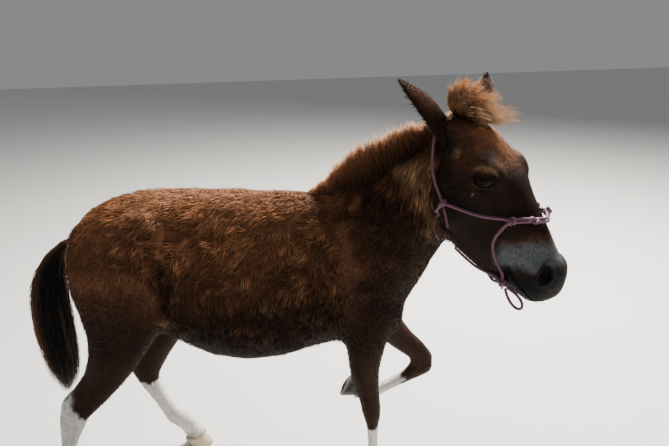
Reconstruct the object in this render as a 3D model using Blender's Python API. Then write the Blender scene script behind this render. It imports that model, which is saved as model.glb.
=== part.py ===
"""A miniature donkey as a still, life-size model, walking with its left forefoot lifted.

Metres. +X points to the head, +Y to the animal's left, +Z up. The flesh is modelled whole from lofted
sections and muscle masses, out to the tips of the coat, and is then parted by thin cuts into trunk, neck,
head and legs. Ears, eyes, hooves, mane, forelock, tail and the rope halter are solids of their own.
The drawing frame has its origin on the floor under the withers; at the end the whole model is shifted so
that the middle of its box stands over the origin.
"""
import math

import bmesh
import bpy
from mathutils import Matrix, Vector
from mathutils.bvhtree import BVHTree

GAP = 0.00035  # clear space between neighbouring solids
CUT = 0.0005  # width of a parting cut
RING_SIDES = 28  # sides of a lofted section
VOXEL = 0.0065  # grain at which the flesh is fused
FUSE_SMOOTHING = 13  # smoothing steps after the flesh is fused
FLESH_TRIANGLES = 4300  # triangles left in all the flesh before it is cut
FORELOCK_THINNING = 0.033  # share of the forelock's triangles that is kept

# The head's own frame: the poll is its origin, with axes to the muzzle, to the animal's left and to the brow.
POLL = Vector((0.338, -0.120, 1.119))
HEAD_TURN = math.radians(-41)  # turned to the animal's right
HEAD_DROP = math.radians(50)  # muzzle below the poll
EYE_RADIUS = 0.024
EYE_PLACE = (0.166, 0.0755, -0.001)  # towards the muzzle, out to the side, up
EAR_WIDTH = 0.066
EAR_BOW = 0.014  # how far the ear bends towards its hollow
EAR_ROWS = 8
EAR_SIDES = 14
EAR_ROOT_WALL = 0.0070
EAR_TIP_WALL = 0.0035
EAR_ROOT_DEPTH = 0.95  # depth of the hollow over its half width
EAR_TIP_DEPTH = 0.60

ROPE = 0.0072  # thickness of the halter rope
KNOT = 0.0105  # radius of a halter knot

HOOF_HEIGHT = 0.046
HOOF_LENGTH = 0.082
HOOF_WIDTH = 0.062
HOOF_FLARE = 0.84  # coronet size over sole size

RIGHT, LEFT = -1, 1

# Trunk: station along X, back, underside, half width, how much narrower it is above than below
TRUNK = (
    (-0.728, 0.790, 0.700, 0.040, 0.0),
    (-0.705, 0.832, 0.640, 0.085, 0.0),
    (-0.655, 0.881, 0.585, 0.125, 0.0),
    (-0.585, 0.914, 0.548, 0.146, 0.02),
    (-0.500, 0.931, 0.528, 0.154, -0.04),
    (-0.420, 0.932, 0.472, 0.157, -0.10),
    (-0.330, 0.929, 0.429, 0.167, -0.13),
    (-0.240, 0.924, 0.415, 0.173, -0.14),
    (-0.140, 0.917, 0.423, 0.169, -0.15),
    (-0.050, 0.912, 0.448, 0.154, -0.18),
    (0.030, 0.900, 0.462, 0.138, -0.22),
    (0.100, 0.860, 0.448, 0.124, -0.10),
    (0.160, 0.770, 0.450, 0.106, 0.0),
    (0.205, 0.690, 0.485, 0.070, 0.0),
)

# Neck: crest point, throat point, half width, taper towards the crest
NECK = (
    ((-0.060, 0.000, 0.905), (0.110, 0.000, 0.470), 0.118, -0.25),
    ((0.010, 0.000, 0.916), (0.196, 0.000, 0.535), 0.116, -0.30),
    ((0.065, -0.006, 0.934), (0.236, -0.010, 0.600), 0.104, -0.34),
    ((0.115, -0.022, 0.958), (0.266, -0.032, 0.660), 0.092, -0.36),
    ((0.165, -0.045, 0.992), (0.284, -0.058, 0.712), 0.083, -0.34),
    ((0.215, -0.070, 1.027), (0.303, -0.090, 0.765), 0.078, -0.30),
    ((0.265, -0.093, 1.060), (0.318, -0.120, 0.815), 0.075, -0.25),
    ((0.312, -0.112, 1.088), (0.336, -0.150, 0.850), 0.068, -0.20),
)

# Head, in its own frame: station from the poll, brow line, jaw line, half width, taper, squareness
HEAD = (
    (-0.028, -0.020, -0.095, 0.036, 0.00, 2.0),
    (-0.005, 0.008, -0.130, 0.056, 0.05, 2.1),
    (0.035, 0.034, -0.165, 0.071, 0.10, 2.2),
    (0.080, 0.047, -0.188, 0.080, 0.14, 2.3),
    (0.125, 0.048, -0.200, 0.086, 0.18, 2.4),
    (0.165, 0.047, -0.210, 0.086, 0.22, 2.5),
    (0.205, 0.046, -0.220, 0.080, 0.20, 2.5),
    (0.250, 0.037, -0.224, 0.070, 0.14, 2.4),
    (0.295, 0.031, -0.212, 0.060, 0.06, 2.3),
    (0.340, 0.025, -0.196, 0.053, 0.00, 2.3),
    (0.385, 0.015, -0.172, 0.049, 0.00, 2.3),
    (0.420, 0.006, -0.150, 0.049, 0.05, 2.3),
    (0.450, -0.004, -0.132, 0.047, 0.06, 2.3),
    (0.472, -0.024, -0.115, 0.039, 0.05, 2.2),
    (0.484, -0.048, -0.095, 0.022, 0.00, 2.0),
)

# Legs: hind and front edge of each section in side view (X, Z), sideways place, half width
FORE_RIGHT = (
    ((-0.030, 0.660), (0.185, 0.640), 0.062, 0.062),
    ((0.000, 0.560), (0.190, 0.545), 0.072, 0.062),
    ((0.028, 0.500), (0.166, 0.492), 0.082, 0.055),
    ((0.041, 0.450), (0.148, 0.450), 0.088, 0.048),
    ((0.045, 0.395), (0.138, 0.395), 0.090, 0.041),
    ((0.060, 0.330), (0.136, 0.330), 0.090, 0.034),
    ((0.073, 0.285), (0.141, 0.285), 0.090, 0.032),
    ((0.078, 0.248), (0.143, 0.248), 0.090, 0.032),
    ((0.089, 0.212), (0.136, 0.212), 0.090, 0.025),
    ((0.092, 0.165), (0.133, 0.165), 0.090, 0.0205),
    ((0.092, 0.120), (0.133, 0.120), 0.090, 0.0205),
    ((0.084, 0.088), (0.140, 0.094), 0.090, 0.0255),
    ((0.097, 0.060), (0.150, 0.070), 0.090, 0.0245),
    ((0.104, 0.030), (0.168, 0.045), 0.090, 0.0290),
    ((0.108, 0.005), (0.176, 0.018), 0.090, 0.0290),
)
FORE_LEFT = (
    ((-0.015, 0.640), (0.190, 0.650), 0.062, 0.062),
    ((0.035, 0.555), (0.205, 0.575), 0.072, 0.062),
    ((0.080, 0.490), (0.213, 0.515), 0.080, 0.055),
    ((0.125, 0.430), (0.226, 0.452), 0.086, 0.047),
    ((0.170, 0.378), (0.254, 0.412), 0.088, 0.040),
    ((0.214, 0.340), (0.294, 0.370), 0.090, 0.034),
    ((0.242, 0.320), (0.322, 0.328), 0.090, 0.032),
    ((0.243, 0.298), (0.320, 0.272), 0.090, 0.031),
    ((0.228, 0.282), (0.262, 0.240), 0.090, 0.025),
    ((0.190, 0.257), (0.217, 0.218), 0.090, 0.0205),
    ((0.157, 0.240), (0.180, 0.200), 0.090, 0.0205),
    ((0.128, 0.233), (0.152, 0.180), 0.090, 0.0255),
    ((0.100, 0.233), (0.118, 0.180), 0.090, 0.0245),
    ((0.068, 0.245), (0.084, 0.176), 0.090, 0.0290),
    ((0.040, 0.242), (0.056, 0.172), 0.090, 0.0290),
)
HIND_RIGHT = (
    ((-0.655, 0.838), (-0.450, 0.838), 0.056, 0.034),
    ((-0.696, 0.790), (-0.420, 0.790), 0.070, 0.064),
    ((-0.712, 0.740), (-0.415, 0.710), 0.080, 0.078),
    ((-0.708, 0.670), (-0.430, 0.630), 0.086, 0.076),
    ((-0.690, 0.600), (-0.455, 0.562), 0.090, 0.068),
    ((-0.681, 0.535), (-0.495, 0.505), 0.092, 0.059),
    ((-0.688, 0.470), (-0.543, 0.438), 0.092, 0.050),
    ((-0.708, 0.418), (-0.600, 0.372), 0.092, 0.042),
    ((-0.745, 0.372), (-0.662, 0.310), 0.092, 0.035),
    ((-0.790, 0.330), (-0.714, 0.262), 0.092, 0.033),
    ((-0.804, 0.274), (-0.732, 0.226), 0.092, 0.033),
    ((-0.811, 0.222), (-0.750, 0.198), 0.092, 0.028),
    ((-0.817, 0.170), (-0.768, 0.158), 0.092, 0.0235),
    ((-0.822, 0.125), (-0.777, 0.122), 0.092, 0.0225),
    ((-0.832, 0.092), (-0.775, 0.096), 0.092, 0.0265),
    ((-0.820, 0.062), (-0.767, 0.072), 0.092, 0.0250),
    ((-0.814, 0.030), (-0.752, 0.045), 0.092, 0.0285),
    ((-0.810, 0.005), (-0.745, 0.018), 0.092, 0.0285),
)
HIND_LEFT = (
    ((-0.655, 0.838), (-0.450, 0.838), 0.056, 0.034),
    ((-0.696, 0.790), (-0.420, 0.790), 0.070, 0.064),
    ((-0.702, 0.735), (-0.395, 0.710), 0.080, 0.078),
    ((-0.693, 0.660), (-0.375, 0.620), 0.086, 0.076),
    ((-0.676, 0.585), (-0.378, 0.540), 0.090, 0.068),
    ((-0.662, 0.515), (-0.418, 0.480), 0.092, 0.059),
    ((-0.655, 0.450), (-0.463, 0.425), 0.092, 0.050),
    ((-0.652, 0.395), (-0.507, 0.365), 0.092, 0.042),
    ((-0.648, 0.345), (-0.541, 0.310), 0.092, 0.035),
    ((-0.643, 0.305), (-0.556, 0.280), 0.092, 0.033),
    ((-0.624, 0.262), (-0.545, 0.245), 0.092, 0.031),
    ((-0.604, 0.220), (-0.538, 0.218), 0.095, 0.027),
    ((-0.588, 0.180), (-0.529, 0.188), 0.100, 0.0235),
    ((-0.573, 0.140), (-0.517, 0.158), 0.106, 0.0225),
    ((-0.560, 0.097), (-0.495, 0.139), 0.111, 0.0265),
    ((-0.526, 0.068), (-0.468, 0.110), 0.114, 0.0250),
    ((-0.496, 0.030), (-0.435, 0.062), 0.116, 0.0285),
    ((-0.488, 0.005), (-0.418, 0.030), 0.116, 0.0285),
)

# Tail: rear and front edge of each section in side view (X, Z), half width
TAIL = (
    ((-0.722, 0.822), (-0.700, 0.775), 0.020),
    ((-0.748, 0.800), (-0.722, 0.765), 0.026),
    ((-0.785, 0.762), (-0.744, 0.735), 0.033),
    ((-0.824, 0.710), (-0.752, 0.700), 0.038),
    ((-0.852, 0.650), (-0.755, 0.650), 0.041),
    ((-0.864, 0.590), (-0.755, 0.590), 0.042),
    ((-0.866, 0.530), (-0.755, 0.530), 0.041),
    ((-0.861, 0.465), (-0.757, 0.465), 0.038),
    ((-0.854, 0.405), (-0.759, 0.405), 0.033),
    ((-0.846, 0.350), (-0.768, 0.345), 0.025),
    ((-0.830, 0.300), (-0.792, 0.298), 0.013),
)

# Mane: foot on the crest, top edge, half thickness at the foot
MANE = (
    ((-0.040, 0.000, 0.890), (-0.022, -0.002, 0.921), 0.014),
    ((0.000, 0.000, 0.900), (0.008, -0.004, 0.945), 0.020),
    ((0.035, -0.002, 0.910), (0.034, -0.010, 0.985), 0.024),
    ((0.078, -0.008, 0.925), (0.066, -0.018, 1.020), 0.027),
    ((0.125, -0.025, 0.950), (0.108, -0.030, 1.043), 0.028),
    ((0.172, -0.048, 0.985), (0.155, -0.046, 1.070), 0.028),
    ((0.222, -0.072, 1.020), (0.206, -0.066, 1.092), 0.027),
    ((0.268, -0.094, 1.050), (0.257, -0.086, 1.103), 0.024),
    ((0.300, -0.106, 1.075), (0.296, -0.100, 1.108), 0.016),
)

# Muscles that stand out from the trunk, the same on both sides: middle, half sizes, lean back in degrees
TRUNK_MUSCLES = (
    ((-0.500, 0.082, 0.770), (0.135, 0.074, 0.135), -20),  # haunch
    ((-0.650, 0.066, 0.705), (0.062, 0.060, 0.120), 12),  # buttock
    ((-0.520, 0.010, 0.550), (0.120, 0.078, 0.055), 18),  # groin
    ((0.065, 0.066, 0.700), (0.075, 0.055, 0.170), 24),  # shoulder
    ((0.105, 0.070, 0.590), (0.090, 0.054, 0.080), -20),  # point of the shoulder
    ((0.165, 0.048, 0.560), (0.050, 0.045, 0.085), -8),  # breast
)

# Masses of the head, in its own frame, the same on both sides: middle, half sizes
HEAD_MASSES = (
    ((0.455, 0.002, -0.062), (0.033, 0.042, 0.040)),  # upper lip
    ((0.445, 0.002, -0.110), (0.031, 0.033, 0.023)),  # chin
    ((0.160, 0.064, 0.024), (0.052, 0.020, 0.020)),  # brow bone
    ((0.165, 0.050, -0.118), (0.082, 0.036, 0.080)),  # cheek
    ((0.235, 0.055, -0.045), (0.060, 0.017, 0.018)),  # cheek bone
    ((0.425, 0.033, -0.035), (0.036, 0.022, 0.033)),  # nostril wing
    ((0.030, 0.055, -0.015), (0.035, 0.030, 0.035)),  # root of the ear
)

# Locks fused into the forelock: middle, half sizes
FORELOCK = (
    ((0.368, -0.098, 1.125), (0.056, 0.045, 0.050)),
    ((0.345, -0.085, 1.152), (0.042, 0.042, 0.038)),
    ((0.388, -0.100, 1.146), (0.050, 0.045, 0.034)),
    ((0.410, -0.118, 1.112), (0.038, 0.040, 0.034)),
)

COLOURS = {
    "coat": (0.105, 0.042, 0.022),
    "muzzle": (0.10, 0.08, 0.07),
    "mane": (0.20, 0.085, 0.035),
    "tail": (0.045, 0.022, 0.014),
    "stocking": (0.62, 0.57, 0.50),
    "hoof": (0.09, 0.075, 0.06),
    "eye": (0.012, 0.008, 0.006),
    "rope": (0.26, 0.075, 0.15),
}
ROUGHNESS = {"eye": 0.05, "hoof": 0.5}


def clear_scene():
    for found in list(bpy.data.objects):
        bpy.data.objects.remove(found, do_unlink=True)


def material(name):
    made = bpy.data.materials.get(name)
    if made is None:
        made = bpy.data.materials.new(name)
        made.use_nodes = True
        shader = made.node_tree.nodes["Principled BSDF"]
        shader.inputs["Base Color"].default_value = (*COLOURS[name], 1.0)
        shader.inputs["Roughness"].default_value = ROUGHNESS.get(name, 0.8)
        shader.inputs["Metallic"].default_value = 0.0
    return made


def add_object(name, mesh, finish):
    made = bpy.data.objects.new(name, mesh)
    made.data.materials.clear()
    made.data.materials.append(material(finish))
    bpy.context.scene.collection.objects.link(made)
    return made


def mesh_from(bm, name):
    bmesh.ops.recalc_face_normals(bm, faces=bm.faces)
    mesh = bpy.data.meshes.new(name)
    bm.to_mesh(mesh)
    bm.free()
    return mesh


def evaluated_mesh(obj):
    """The object's mesh with its modifiers applied."""
    bpy.context.view_layer.update()
    graph = bpy.context.evaluated_depsgraph_get()
    return bpy.data.meshes.new_from_object(obj.evaluated_get(graph))


def apply_modifiers(obj):
    mesh = evaluated_mesh(obj)
    obj.modifiers.clear()
    obj.data = mesh


def head_frame():
    """Axes of the head in world space: towards the muzzle, to its left, to its brow."""
    forward = Vector((
        math.cos(HEAD_DROP) * math.cos(HEAD_TURN),
        math.cos(HEAD_DROP) * math.sin(HEAD_TURN),
        -math.sin(HEAD_DROP),
    ))
    left = Vector((-math.sin(HEAD_TURN), math.cos(HEAD_TURN), 0.0))
    return forward, left, forward.cross(left)


def in_head(ahead, left, up):
    """A point given in the head's own frame, in world space."""
    axes = head_frame()
    return POLL + axes[0] * ahead + axes[1] * left + axes[2] * up


def add_section(bm, low, high, side, taper=0.0, squareness=2.0, sides=RING_SIDES):
    """A closed ring from edge to edge, `side` half wide, wider towards `high` where the taper is positive."""
    middle, reach = (low + high) / 2, (high - low) / 2
    ring = bmesh.ops.create_circle(bm, segments=sides, radius=1.0)["verts"]
    for vert in ring:
        along = math.copysign(abs(vert.co.y) ** (2 / squareness), vert.co.y)
        across = math.copysign(abs(vert.co.x) ** (2 / squareness), vert.co.x)
        vert.co = middle + reach * along + side * across * (1 + taper * along)
    return ring


def add_loft(bm, rings):
    """A closed skin from ring to ring."""
    for ring, further in zip(rings, rings[1:]):
        for index in range(len(ring)):
            bm.faces.new((ring[index - 1], ring[index], further[index], further[index - 1]))
    bm.faces.new(rings[0])
    bm.faces.new(rings[-1])


def add_mass(bm, centre, radii, axes=((1, 0, 0), (0, 1, 0), (0, 0, 1)), fineness=3):
    """An ellipsoid with its three half axes along the given axes."""
    turn = Matrix([Vector(axis) for axis in axes]).transposed().to_4x4()
    place = Matrix.Translation(centre) @ turn @ Matrix.Diagonal((*radii, 1.0))
    bmesh.ops.create_icosphere(bm, subdivisions=fineness, radius=1.0, matrix=place)


def leaning(degrees):
    """Axes turned in the side view; a positive angle tips the upper end back."""
    turn = Matrix.Rotation(math.radians(-degrees), 3, "Y")
    return [turn @ Vector(axis) for axis in ((1, 0, 0), (0, 1, 0), (0, 0, 1))]


def add_trunk(bm):
    sections = []
    for x, back, belly, half_width, taper in TRUNK:
        low, high = Vector((x, 0, belly)), Vector((x, 0, back))
        sections.append(add_section(bm, low, high, Vector((0, half_width, 0)), taper, 2.15))
    add_loft(bm, sections)
    for side in (RIGHT, LEFT):
        for (x, y, z), radii, lean in TRUNK_MUSCLES:
            add_mass(bm, (x, side * y, z), radii, leaning(lean))


def add_neck(bm):
    sections = []
    lateral = head_frame()[1]
    for index, (crest, throat, half_width, taper) in enumerate(NECK):
        share = index / (len(NECK) - 1)
        side = Vector((0, 1, 0)).lerp(lateral, 0.8 * share).normalized() * half_width
        sections.append(add_section(bm, Vector(throat), Vector(crest), side, taper, 2.1))
    add_loft(bm, sections)


def add_head(bm):
    forward, left, up = head_frame()
    sections = []
    for ahead, brow, jaw, half_width, taper, squareness in HEAD:
        low, high = in_head(ahead, 0, jaw), in_head(ahead, 0, brow)
        sections.append(add_section(bm, low, high, left * half_width, taper, squareness))
    add_loft(bm, sections)
    for (ahead, out, rise), radii in HEAD_MASSES:
        for side in (RIGHT, LEFT):
            add_mass(bm, in_head(ahead, side * out, rise), radii, (forward, left, up))


def add_leg(bm, sections, side):
    rings = []
    for rear, front, sideways, half_width in sections:
        low = Vector((rear[0], side * sideways, rear[1]))
        high = Vector((front[0], side * sideways, front[1]))
        rings.append(add_section(bm, low, high, Vector((0, half_width, 0)), 0.0, 2.15))
    add_loft(bm, rings)


def fused_flesh():
    """All the flesh as one smooth body."""
    bm = bmesh.new()
    add_trunk(bm)
    add_neck(bm)
    add_head(bm)
    for sections, side in ((FORE_RIGHT, RIGHT), (FORE_LEFT, LEFT), (HIND_RIGHT, RIGHT), (HIND_LEFT, LEFT)):
        add_leg(bm, sections, side)
    flesh = add_object("flesh", mesh_from(bm, "flesh"), "coat")
    remesh = flesh.modifiers.new("fuse", "REMESH")
    remesh.mode = "VOXEL"
    remesh.voxel_size = VOXEL
    remesh.adaptivity = 0.0
    smooth = flesh.modifiers.new("soften", "SMOOTH")
    smooth.factor = 0.5
    smooth.iterations = FUSE_SMOOTHING
    apply_modifiers(flesh)
    return flesh


def thin_out(flesh):
    """Fewer triangles over the broad trunk than over head and legs."""
    group = flesh.vertex_groups.new(name="broad")
    trunk_low, trunk_high, neck_front = 0.44, 1.0, 0.16
    for vert in flesh.data.vertices:
        broad = trunk_low < vert.co.z < trunk_high and vert.co.x < neck_front
        group.add([vert.index], 1.0 if broad else 0.75, "REPLACE")
    decimate = flesh.modifiers.new("thin", "DECIMATE")
    decimate.vertex_group = "broad"
    decimate.ratio = FLESH_TRIANGLES / sum(len(face.vertices) - 2 for face in flesh.data.polygons)
    decimate.use_collapse_triangulate = True
    apply_modifiers(flesh)
    flesh.vertex_groups.clear()


def carve(obj, cutter, operation="DIFFERENCE"):
    boolean = obj.modifiers.new("carve", "BOOLEAN")
    boolean.operation = operation
    boolean.solver = "EXACT"
    boolean.object = cutter
    apply_modifiers(obj)


def drop(obj):
    bpy.data.objects.remove(obj, do_unlink=True)


def grown(obj, clearance):
    """A copy of the object, larger by the clearance all over."""
    mesh = obj.data.copy()
    bm = bmesh.new()
    bm.from_mesh(mesh)
    bm.normal_update()
    moved = [vert.co + vert.normal * clearance * vert.calc_shell_factor() for vert in bm.verts]
    for vert, place in zip(bm.verts, moved):
        vert.co = place
    bm.to_mesh(mesh)
    bm.free()
    return add_object(obj.name + "_grown", mesh, "coat")


def cut_from(obj, others, clearance=GAP):
    """Takes the others, grown by the clearance, out of the object and keeps its largest body."""
    for other in others:
        cutter = grown(other, clearance)
        carve(obj, cutter)
        drop(cutter)
    keep_largest(obj)


def bodies_of(bm):
    """The connected bodies of a mesh, as lists of vertices, largest first."""
    bm.verts.ensure_lookup_table()
    seen, bodies = set(), []
    for start in bm.verts:
        if start.index in seen:
            continue
        seen.add(start.index)
        body, ahead = [], [start]
        while ahead:
            vert = ahead.pop()
            body.append(vert)
            for edge in vert.link_edges:
                other = edge.other_vert(vert)
                if other.index not in seen:
                    seen.add(other.index)
                    ahead.append(other)
        bodies.append(body)
    return sorted(bodies, key=len, reverse=True)


def keep_largest(obj):
    bm = bmesh.new()
    bm.from_mesh(obj.data)
    spare = [vert for body in bodies_of(bm)[1:] for vert in body]
    bmesh.ops.delete(bm, geom=spare, context="VERTS")
    bm.to_mesh(obj.data)
    bm.free()


def disc(centre, normal, radius, thickness):
    """A wire-drawn round cutter whose first face lies at the centre and which reaches along the normal."""
    bm = bmesh.new()
    turn = Vector((0, 0, 1)).rotation_difference(Vector(normal)).to_matrix().to_4x4()
    place = Matrix.Translation(Vector(centre)) @ turn @ Matrix.Translation((0, 0, thickness / 2))
    bmesh.ops.create_cone(
        bm, cap_ends=True, segments=24, radius1=radius, radius2=radius, depth=thickness, matrix=place
    )
    cutter = add_object("cutter", mesh_from(bm, "cutter"), "coat")
    cutter.hide_render = True
    cutter.display_type = "WIRE"
    return cutter


# Hooves: middle of the sole, direction of the toe, direction from sole to leg
HOOVES = {
    "fore_right": ((0.152, -0.090, 0.0), (1, 0, 0), (0, 0, 1)),
    "fore_left": ((0.040, 0.090, 0.227), (-0.564, 0, -0.826), (0.826, 0, -0.564)),
    "hind_right": ((-0.772, -0.092, 0.0), (1, 0, 0), (0, 0, 1)),
    "hind_left": ((-0.455, 0.116, 0.0), (1, 0, 0), (0, 0, 1)),
}
TRIM_RADIUS = 0.065  # of the cutter that ends a leg above its hoof
TRIM_DEPTH = 0.090
CORONET_SLOPE = 0.26  # rise of the coronet towards the toe
TOE_SLOPE = 0.42  # how far the hoof leans back for its height
SOLE_BEVEL = 0.0025
HOOF_SIDES = 16
# Rings of a hoof: share of its height, size over the widest ring
HOOF_RINGS = (
    (0.0, 1 - SOLE_BEVEL * 2 / HOOF_WIDTH),
    (0.06, 1.0),
    (0.5, (1 + HOOF_FLARE) / 2),
    (1.0, HOOF_FLARE),
)

# The cut between neck and head follows the back of the jaw from poll to throat: towards the muzzle, up
HEAD_CUT = (
    (-0.050, 0.060), (-0.015, -0.030), (0.040, -0.120), (0.085, -0.185),
    (0.125, -0.220), (0.185, -0.232), (0.320, -0.228),
)
HEAD_CUT_HALF_WIDTH = 0.15

# Straight parting cuts: middle, direction across the cut, radius
CUTS = (
    ((0.120, -0.010, 0.765), (0.815, 0.0, 0.580), 0.225),
    ((0.092, -0.090, 0.424), (0.0, 0.0, 1.0), 0.085),
    ((0.185, 0.088, 0.418), (0.50, 0.0, -0.866), 0.082),
    ((0.112, -0.090, 0.212), (0.0, 0.0, 1.0), 0.050),
    ((0.235, 0.090, 0.257), (-0.84, 0.0, -0.54), 0.046),
    ((-0.615, -0.092, 0.455), (-0.55, 0.0, -0.83), 0.110),
    ((-0.555, 0.092, 0.437), (-0.35, 0.0, -0.94), 0.118),
    ((-0.788, -0.092, 0.210), (-0.35, 0.0, -0.94), 0.055),
    ((-0.571, 0.092, 0.219), (0.35, 0.0, -0.94), 0.052),
)

# Where each piece of flesh lies, and its finish
FLESH_PIECES = {
    "trunk": ((-0.26, 0.0, 0.68), "coat"),
    "neck": ((0.21, -0.05, 0.86), "coat"),
    "head": (tuple(in_head(0.22, 0.0, -0.08)), "coat"),
    "fore_right_upper": ((0.100, -0.090, 0.32), "coat"),
    "fore_right_lower": ((0.120, -0.090, 0.12), "stocking"),
    "fore_left_upper": ((0.240, 0.090, 0.36), "coat"),
    "fore_left_lower": ((0.150, 0.090, 0.22), "stocking"),
    "hind_right_upper": ((-0.710, -0.092, 0.34), "coat"),
    "hind_right_lower": ((-0.800, -0.092, 0.12), "stocking"),
    "hind_left_upper": ((-0.580, 0.092, 0.33), "coat"),
    "hind_left_lower": ((-0.530, 0.092, 0.13), "stocking"),
}

# Ears: root and tip in the head frame, and the direction that the hollow faces
EARS = {
    "ear_right": ((0.034, -0.056, -0.030), (-0.129, -0.140, -0.008), (-0.70, 0.60, -0.45)),
    "ear_left": ((0.040, 0.052, -0.026), (-0.078, 0.166, 0.034), (-0.60, -0.80, 0.00)),
}


def hoof_matrix(name):
    sole, toe, up = HOOVES[name]
    toe, up = Vector(toe).normalized(), Vector(up).normalized()
    across = up.cross(toe)
    return Matrix.Translation(sole) @ Matrix((toe, across, up)).transposed().to_4x4()


def coronet_height(x):
    return HOOF_HEIGHT - HOOF_LENGTH / 4 * CORONET_SLOPE + x * CORONET_SLOPE


def make_hoof(name):
    """A hoof with a flat sole, leaning back to a sloping coronet."""
    bm = bmesh.new()
    rings = []
    for share, scale in HOOF_RINGS:
        ring = bmesh.ops.create_circle(bm, segments=HOOF_SIDES, radius=0.5)["verts"]
        for vert in ring:
            x = vert.co.x * HOOF_LENGTH * scale - share * HOOF_HEIGHT * TOE_SLOPE
            height = share * coronet_height(x)
            vert.co = Vector((x, vert.co.y * HOOF_WIDTH * scale, height))
        rings.append(ring)
    add_loft(bm, rings)
    bm.transform(hoof_matrix(name))
    return add_object(name + "_hoof", mesh_from(bm, name + "_hoof"), "hoof")


def trim_leg(flesh, name):
    """Ends the leg's flesh flat, just above the coronet."""
    place = hoof_matrix(name)
    middle = place @ Vector((0, 0, coronet_height(0) + GAP))
    slope = Vector((CORONET_SLOPE, 0, -1)).normalized()
    cutter = disc(middle, place.to_3x3() @ slope, TRIM_RADIUS, TRIM_DEPTH)
    carve(flesh, cutter)
    drop(cutter)
    keep_largest(flesh)


def bent_sheet():
    """A thin wire-drawn cutter along the back of the jaw."""
    bm = bmesh.new()
    rows = []
    for index, (ahead, up) in enumerate(HEAD_CUT):
        before, after = HEAD_CUT[max(index - 1, 0)], HEAD_CUT[min(index + 1, len(HEAD_CUT) - 1)]
        run = Vector((after[0] - before[0], after[1] - before[1])).normalized()
        row = []
        for side, face in ((-1, -1), (1, -1), (1, 1), (-1, 1)):
            out = face * CUT / 2
            point = in_head(ahead + run.y * out, side * HEAD_CUT_HALF_WIDTH, up - run.x * out)
            row.append(bm.verts.new(point))
        rows.append(row)
    add_loft(bm, rows)
    cutter = add_object("cutter", mesh_from(bm, "cutter"), "coat")
    cutter.hide_render = True
    cutter.display_type = "WIRE"
    return cutter


def part_flesh(flesh):
    """Cuts the flesh and gives each body its own object and name."""
    for cutter in [bent_sheet()] + [disc(*cut, CUT) for cut in CUTS]:
        carve(flesh, cutter)
        drop(cutter)
    bm = bmesh.new()
    bm.from_mesh(flesh.data)
    bodies = bodies_of(bm)
    pieces = {}
    for name, (seat, finish) in FLESH_PIECES.items():
        def distance(body):
            middle = sum((vert.co for vert in body), Vector()) / len(body)
            return (middle - Vector(seat)).length
        body = min(bodies, key=distance)
        keep = {vert.index for vert in body}
        piece = bm.copy()
        piece.verts.ensure_lookup_table()
        spare = [vert for vert in piece.verts if vert.index not in keep]
        bmesh.ops.delete(piece, geom=spare, context="VERTS")
        mesh = bpy.data.meshes.new(name)
        piece.to_mesh(mesh)
        piece.free()
        pieces[name] = add_object(name, mesh, finish)
    bm.free()
    drop(flesh)
    return pieces


def make_eye(name, side):
    bm = bmesh.new()
    ahead, out, up = EYE_PLACE
    add_mass(bm, in_head(ahead, side * out, up), (EYE_RADIUS,) * 3, fineness=2)
    return add_object(name, mesh_from(bm, name), "eye")


def open_socket(head, eye):
    cutter = grown(eye, GAP)
    carve(head, cutter)
    drop(cutter)
    keep_largest(head)


def make_ear(name):
    """A pointed leaf, hollow on one side."""
    root, tip, faces = EARS[name]
    root, tip = in_head(*root), in_head(*tip)
    axis = (tip - root).normalized()
    across = axis.cross(Vector(faces)).normalized()
    hollow = across.cross(axis).normalized()
    bm = bmesh.new()
    rings = []
    for row in range(EAR_ROWS):
        share = row / (EAR_ROWS - 1)
        half_width = EAR_WIDTH / 2 * math.sin(math.pi * (0.24 + 0.745 * share)) ** 0.75
        depth = half_width * (EAR_ROOT_DEPTH + (EAR_TIP_DEPTH - EAR_ROOT_DEPTH) * share)
        wall = EAR_ROOT_WALL + (EAR_TIP_WALL - EAR_ROOT_WALL) * share
        bow = EAR_BOW * math.sin(math.pi * share)
        ring = bmesh.ops.create_circle(bm, segments=EAR_SIDES, radius=1.0)["verts"]
        for vert in ring:
            x, y = vert.co.x, vert.co.y
            if y < 0:
                x, y = x * half_width, y * depth
            else:
                x, y = x * (half_width - 0.3 * wall), -y * max(depth - wall, 0.15 * depth)
            vert.co = root.lerp(tip, share) + across * x + hollow * (y + depth * 0.6 - bow)
        rings.append(ring)
    add_loft(bm, rings)
    return add_object(name, mesh_from(bm, name), "coat")


def make_tail():
    bm = bmesh.new()
    rings = []
    for rear, front, half_width in TAIL:
        low, high = Vector((rear[0], 0, rear[1])), Vector((front[0], 0, front[1]))
        rings.append(add_section(bm, low, high, Vector((0, half_width, 0)), 0.0, 2.0, 12))
    add_loft(bm, rings)
    return add_object("tail", mesh_from(bm, "tail"), "tail")


def make_mane():
    bm = bmesh.new()
    rings = []
    lateral = head_frame()[1]
    for index, (foot, top, half_width) in enumerate(MANE):
        side = Vector((0, 1, 0)).lerp(lateral, 0.8 * index / (len(MANE) - 1)).normalized()
        rings.append(add_section(bm, Vector(foot), Vector(top), side * half_width, -0.35, 2.0, 10))
    add_loft(bm, rings)
    return add_object("mane", mesh_from(bm, "mane"), "mane")


def make_forelock():
    """The tuft over the poll, fused from a few rounded locks."""
    bm = bmesh.new()
    for middle, radii in FORELOCK:
        add_mass(bm, middle, radii)
    forelock = add_object("forelock", mesh_from(bm, "forelock"), "mane")
    remesh = forelock.modifiers.new("fuse", "REMESH")
    remesh.mode = "VOXEL"
    remesh.voxel_size = VOXEL
    smooth = forelock.modifiers.new("soften", "SMOOTH")
    smooth.iterations = 3
    decimate = forelock.modifiers.new("thin", "DECIMATE")
    decimate.ratio = FORELOCK_THINNING
    apply_modifiers(forelock)
    return forelock


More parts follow.
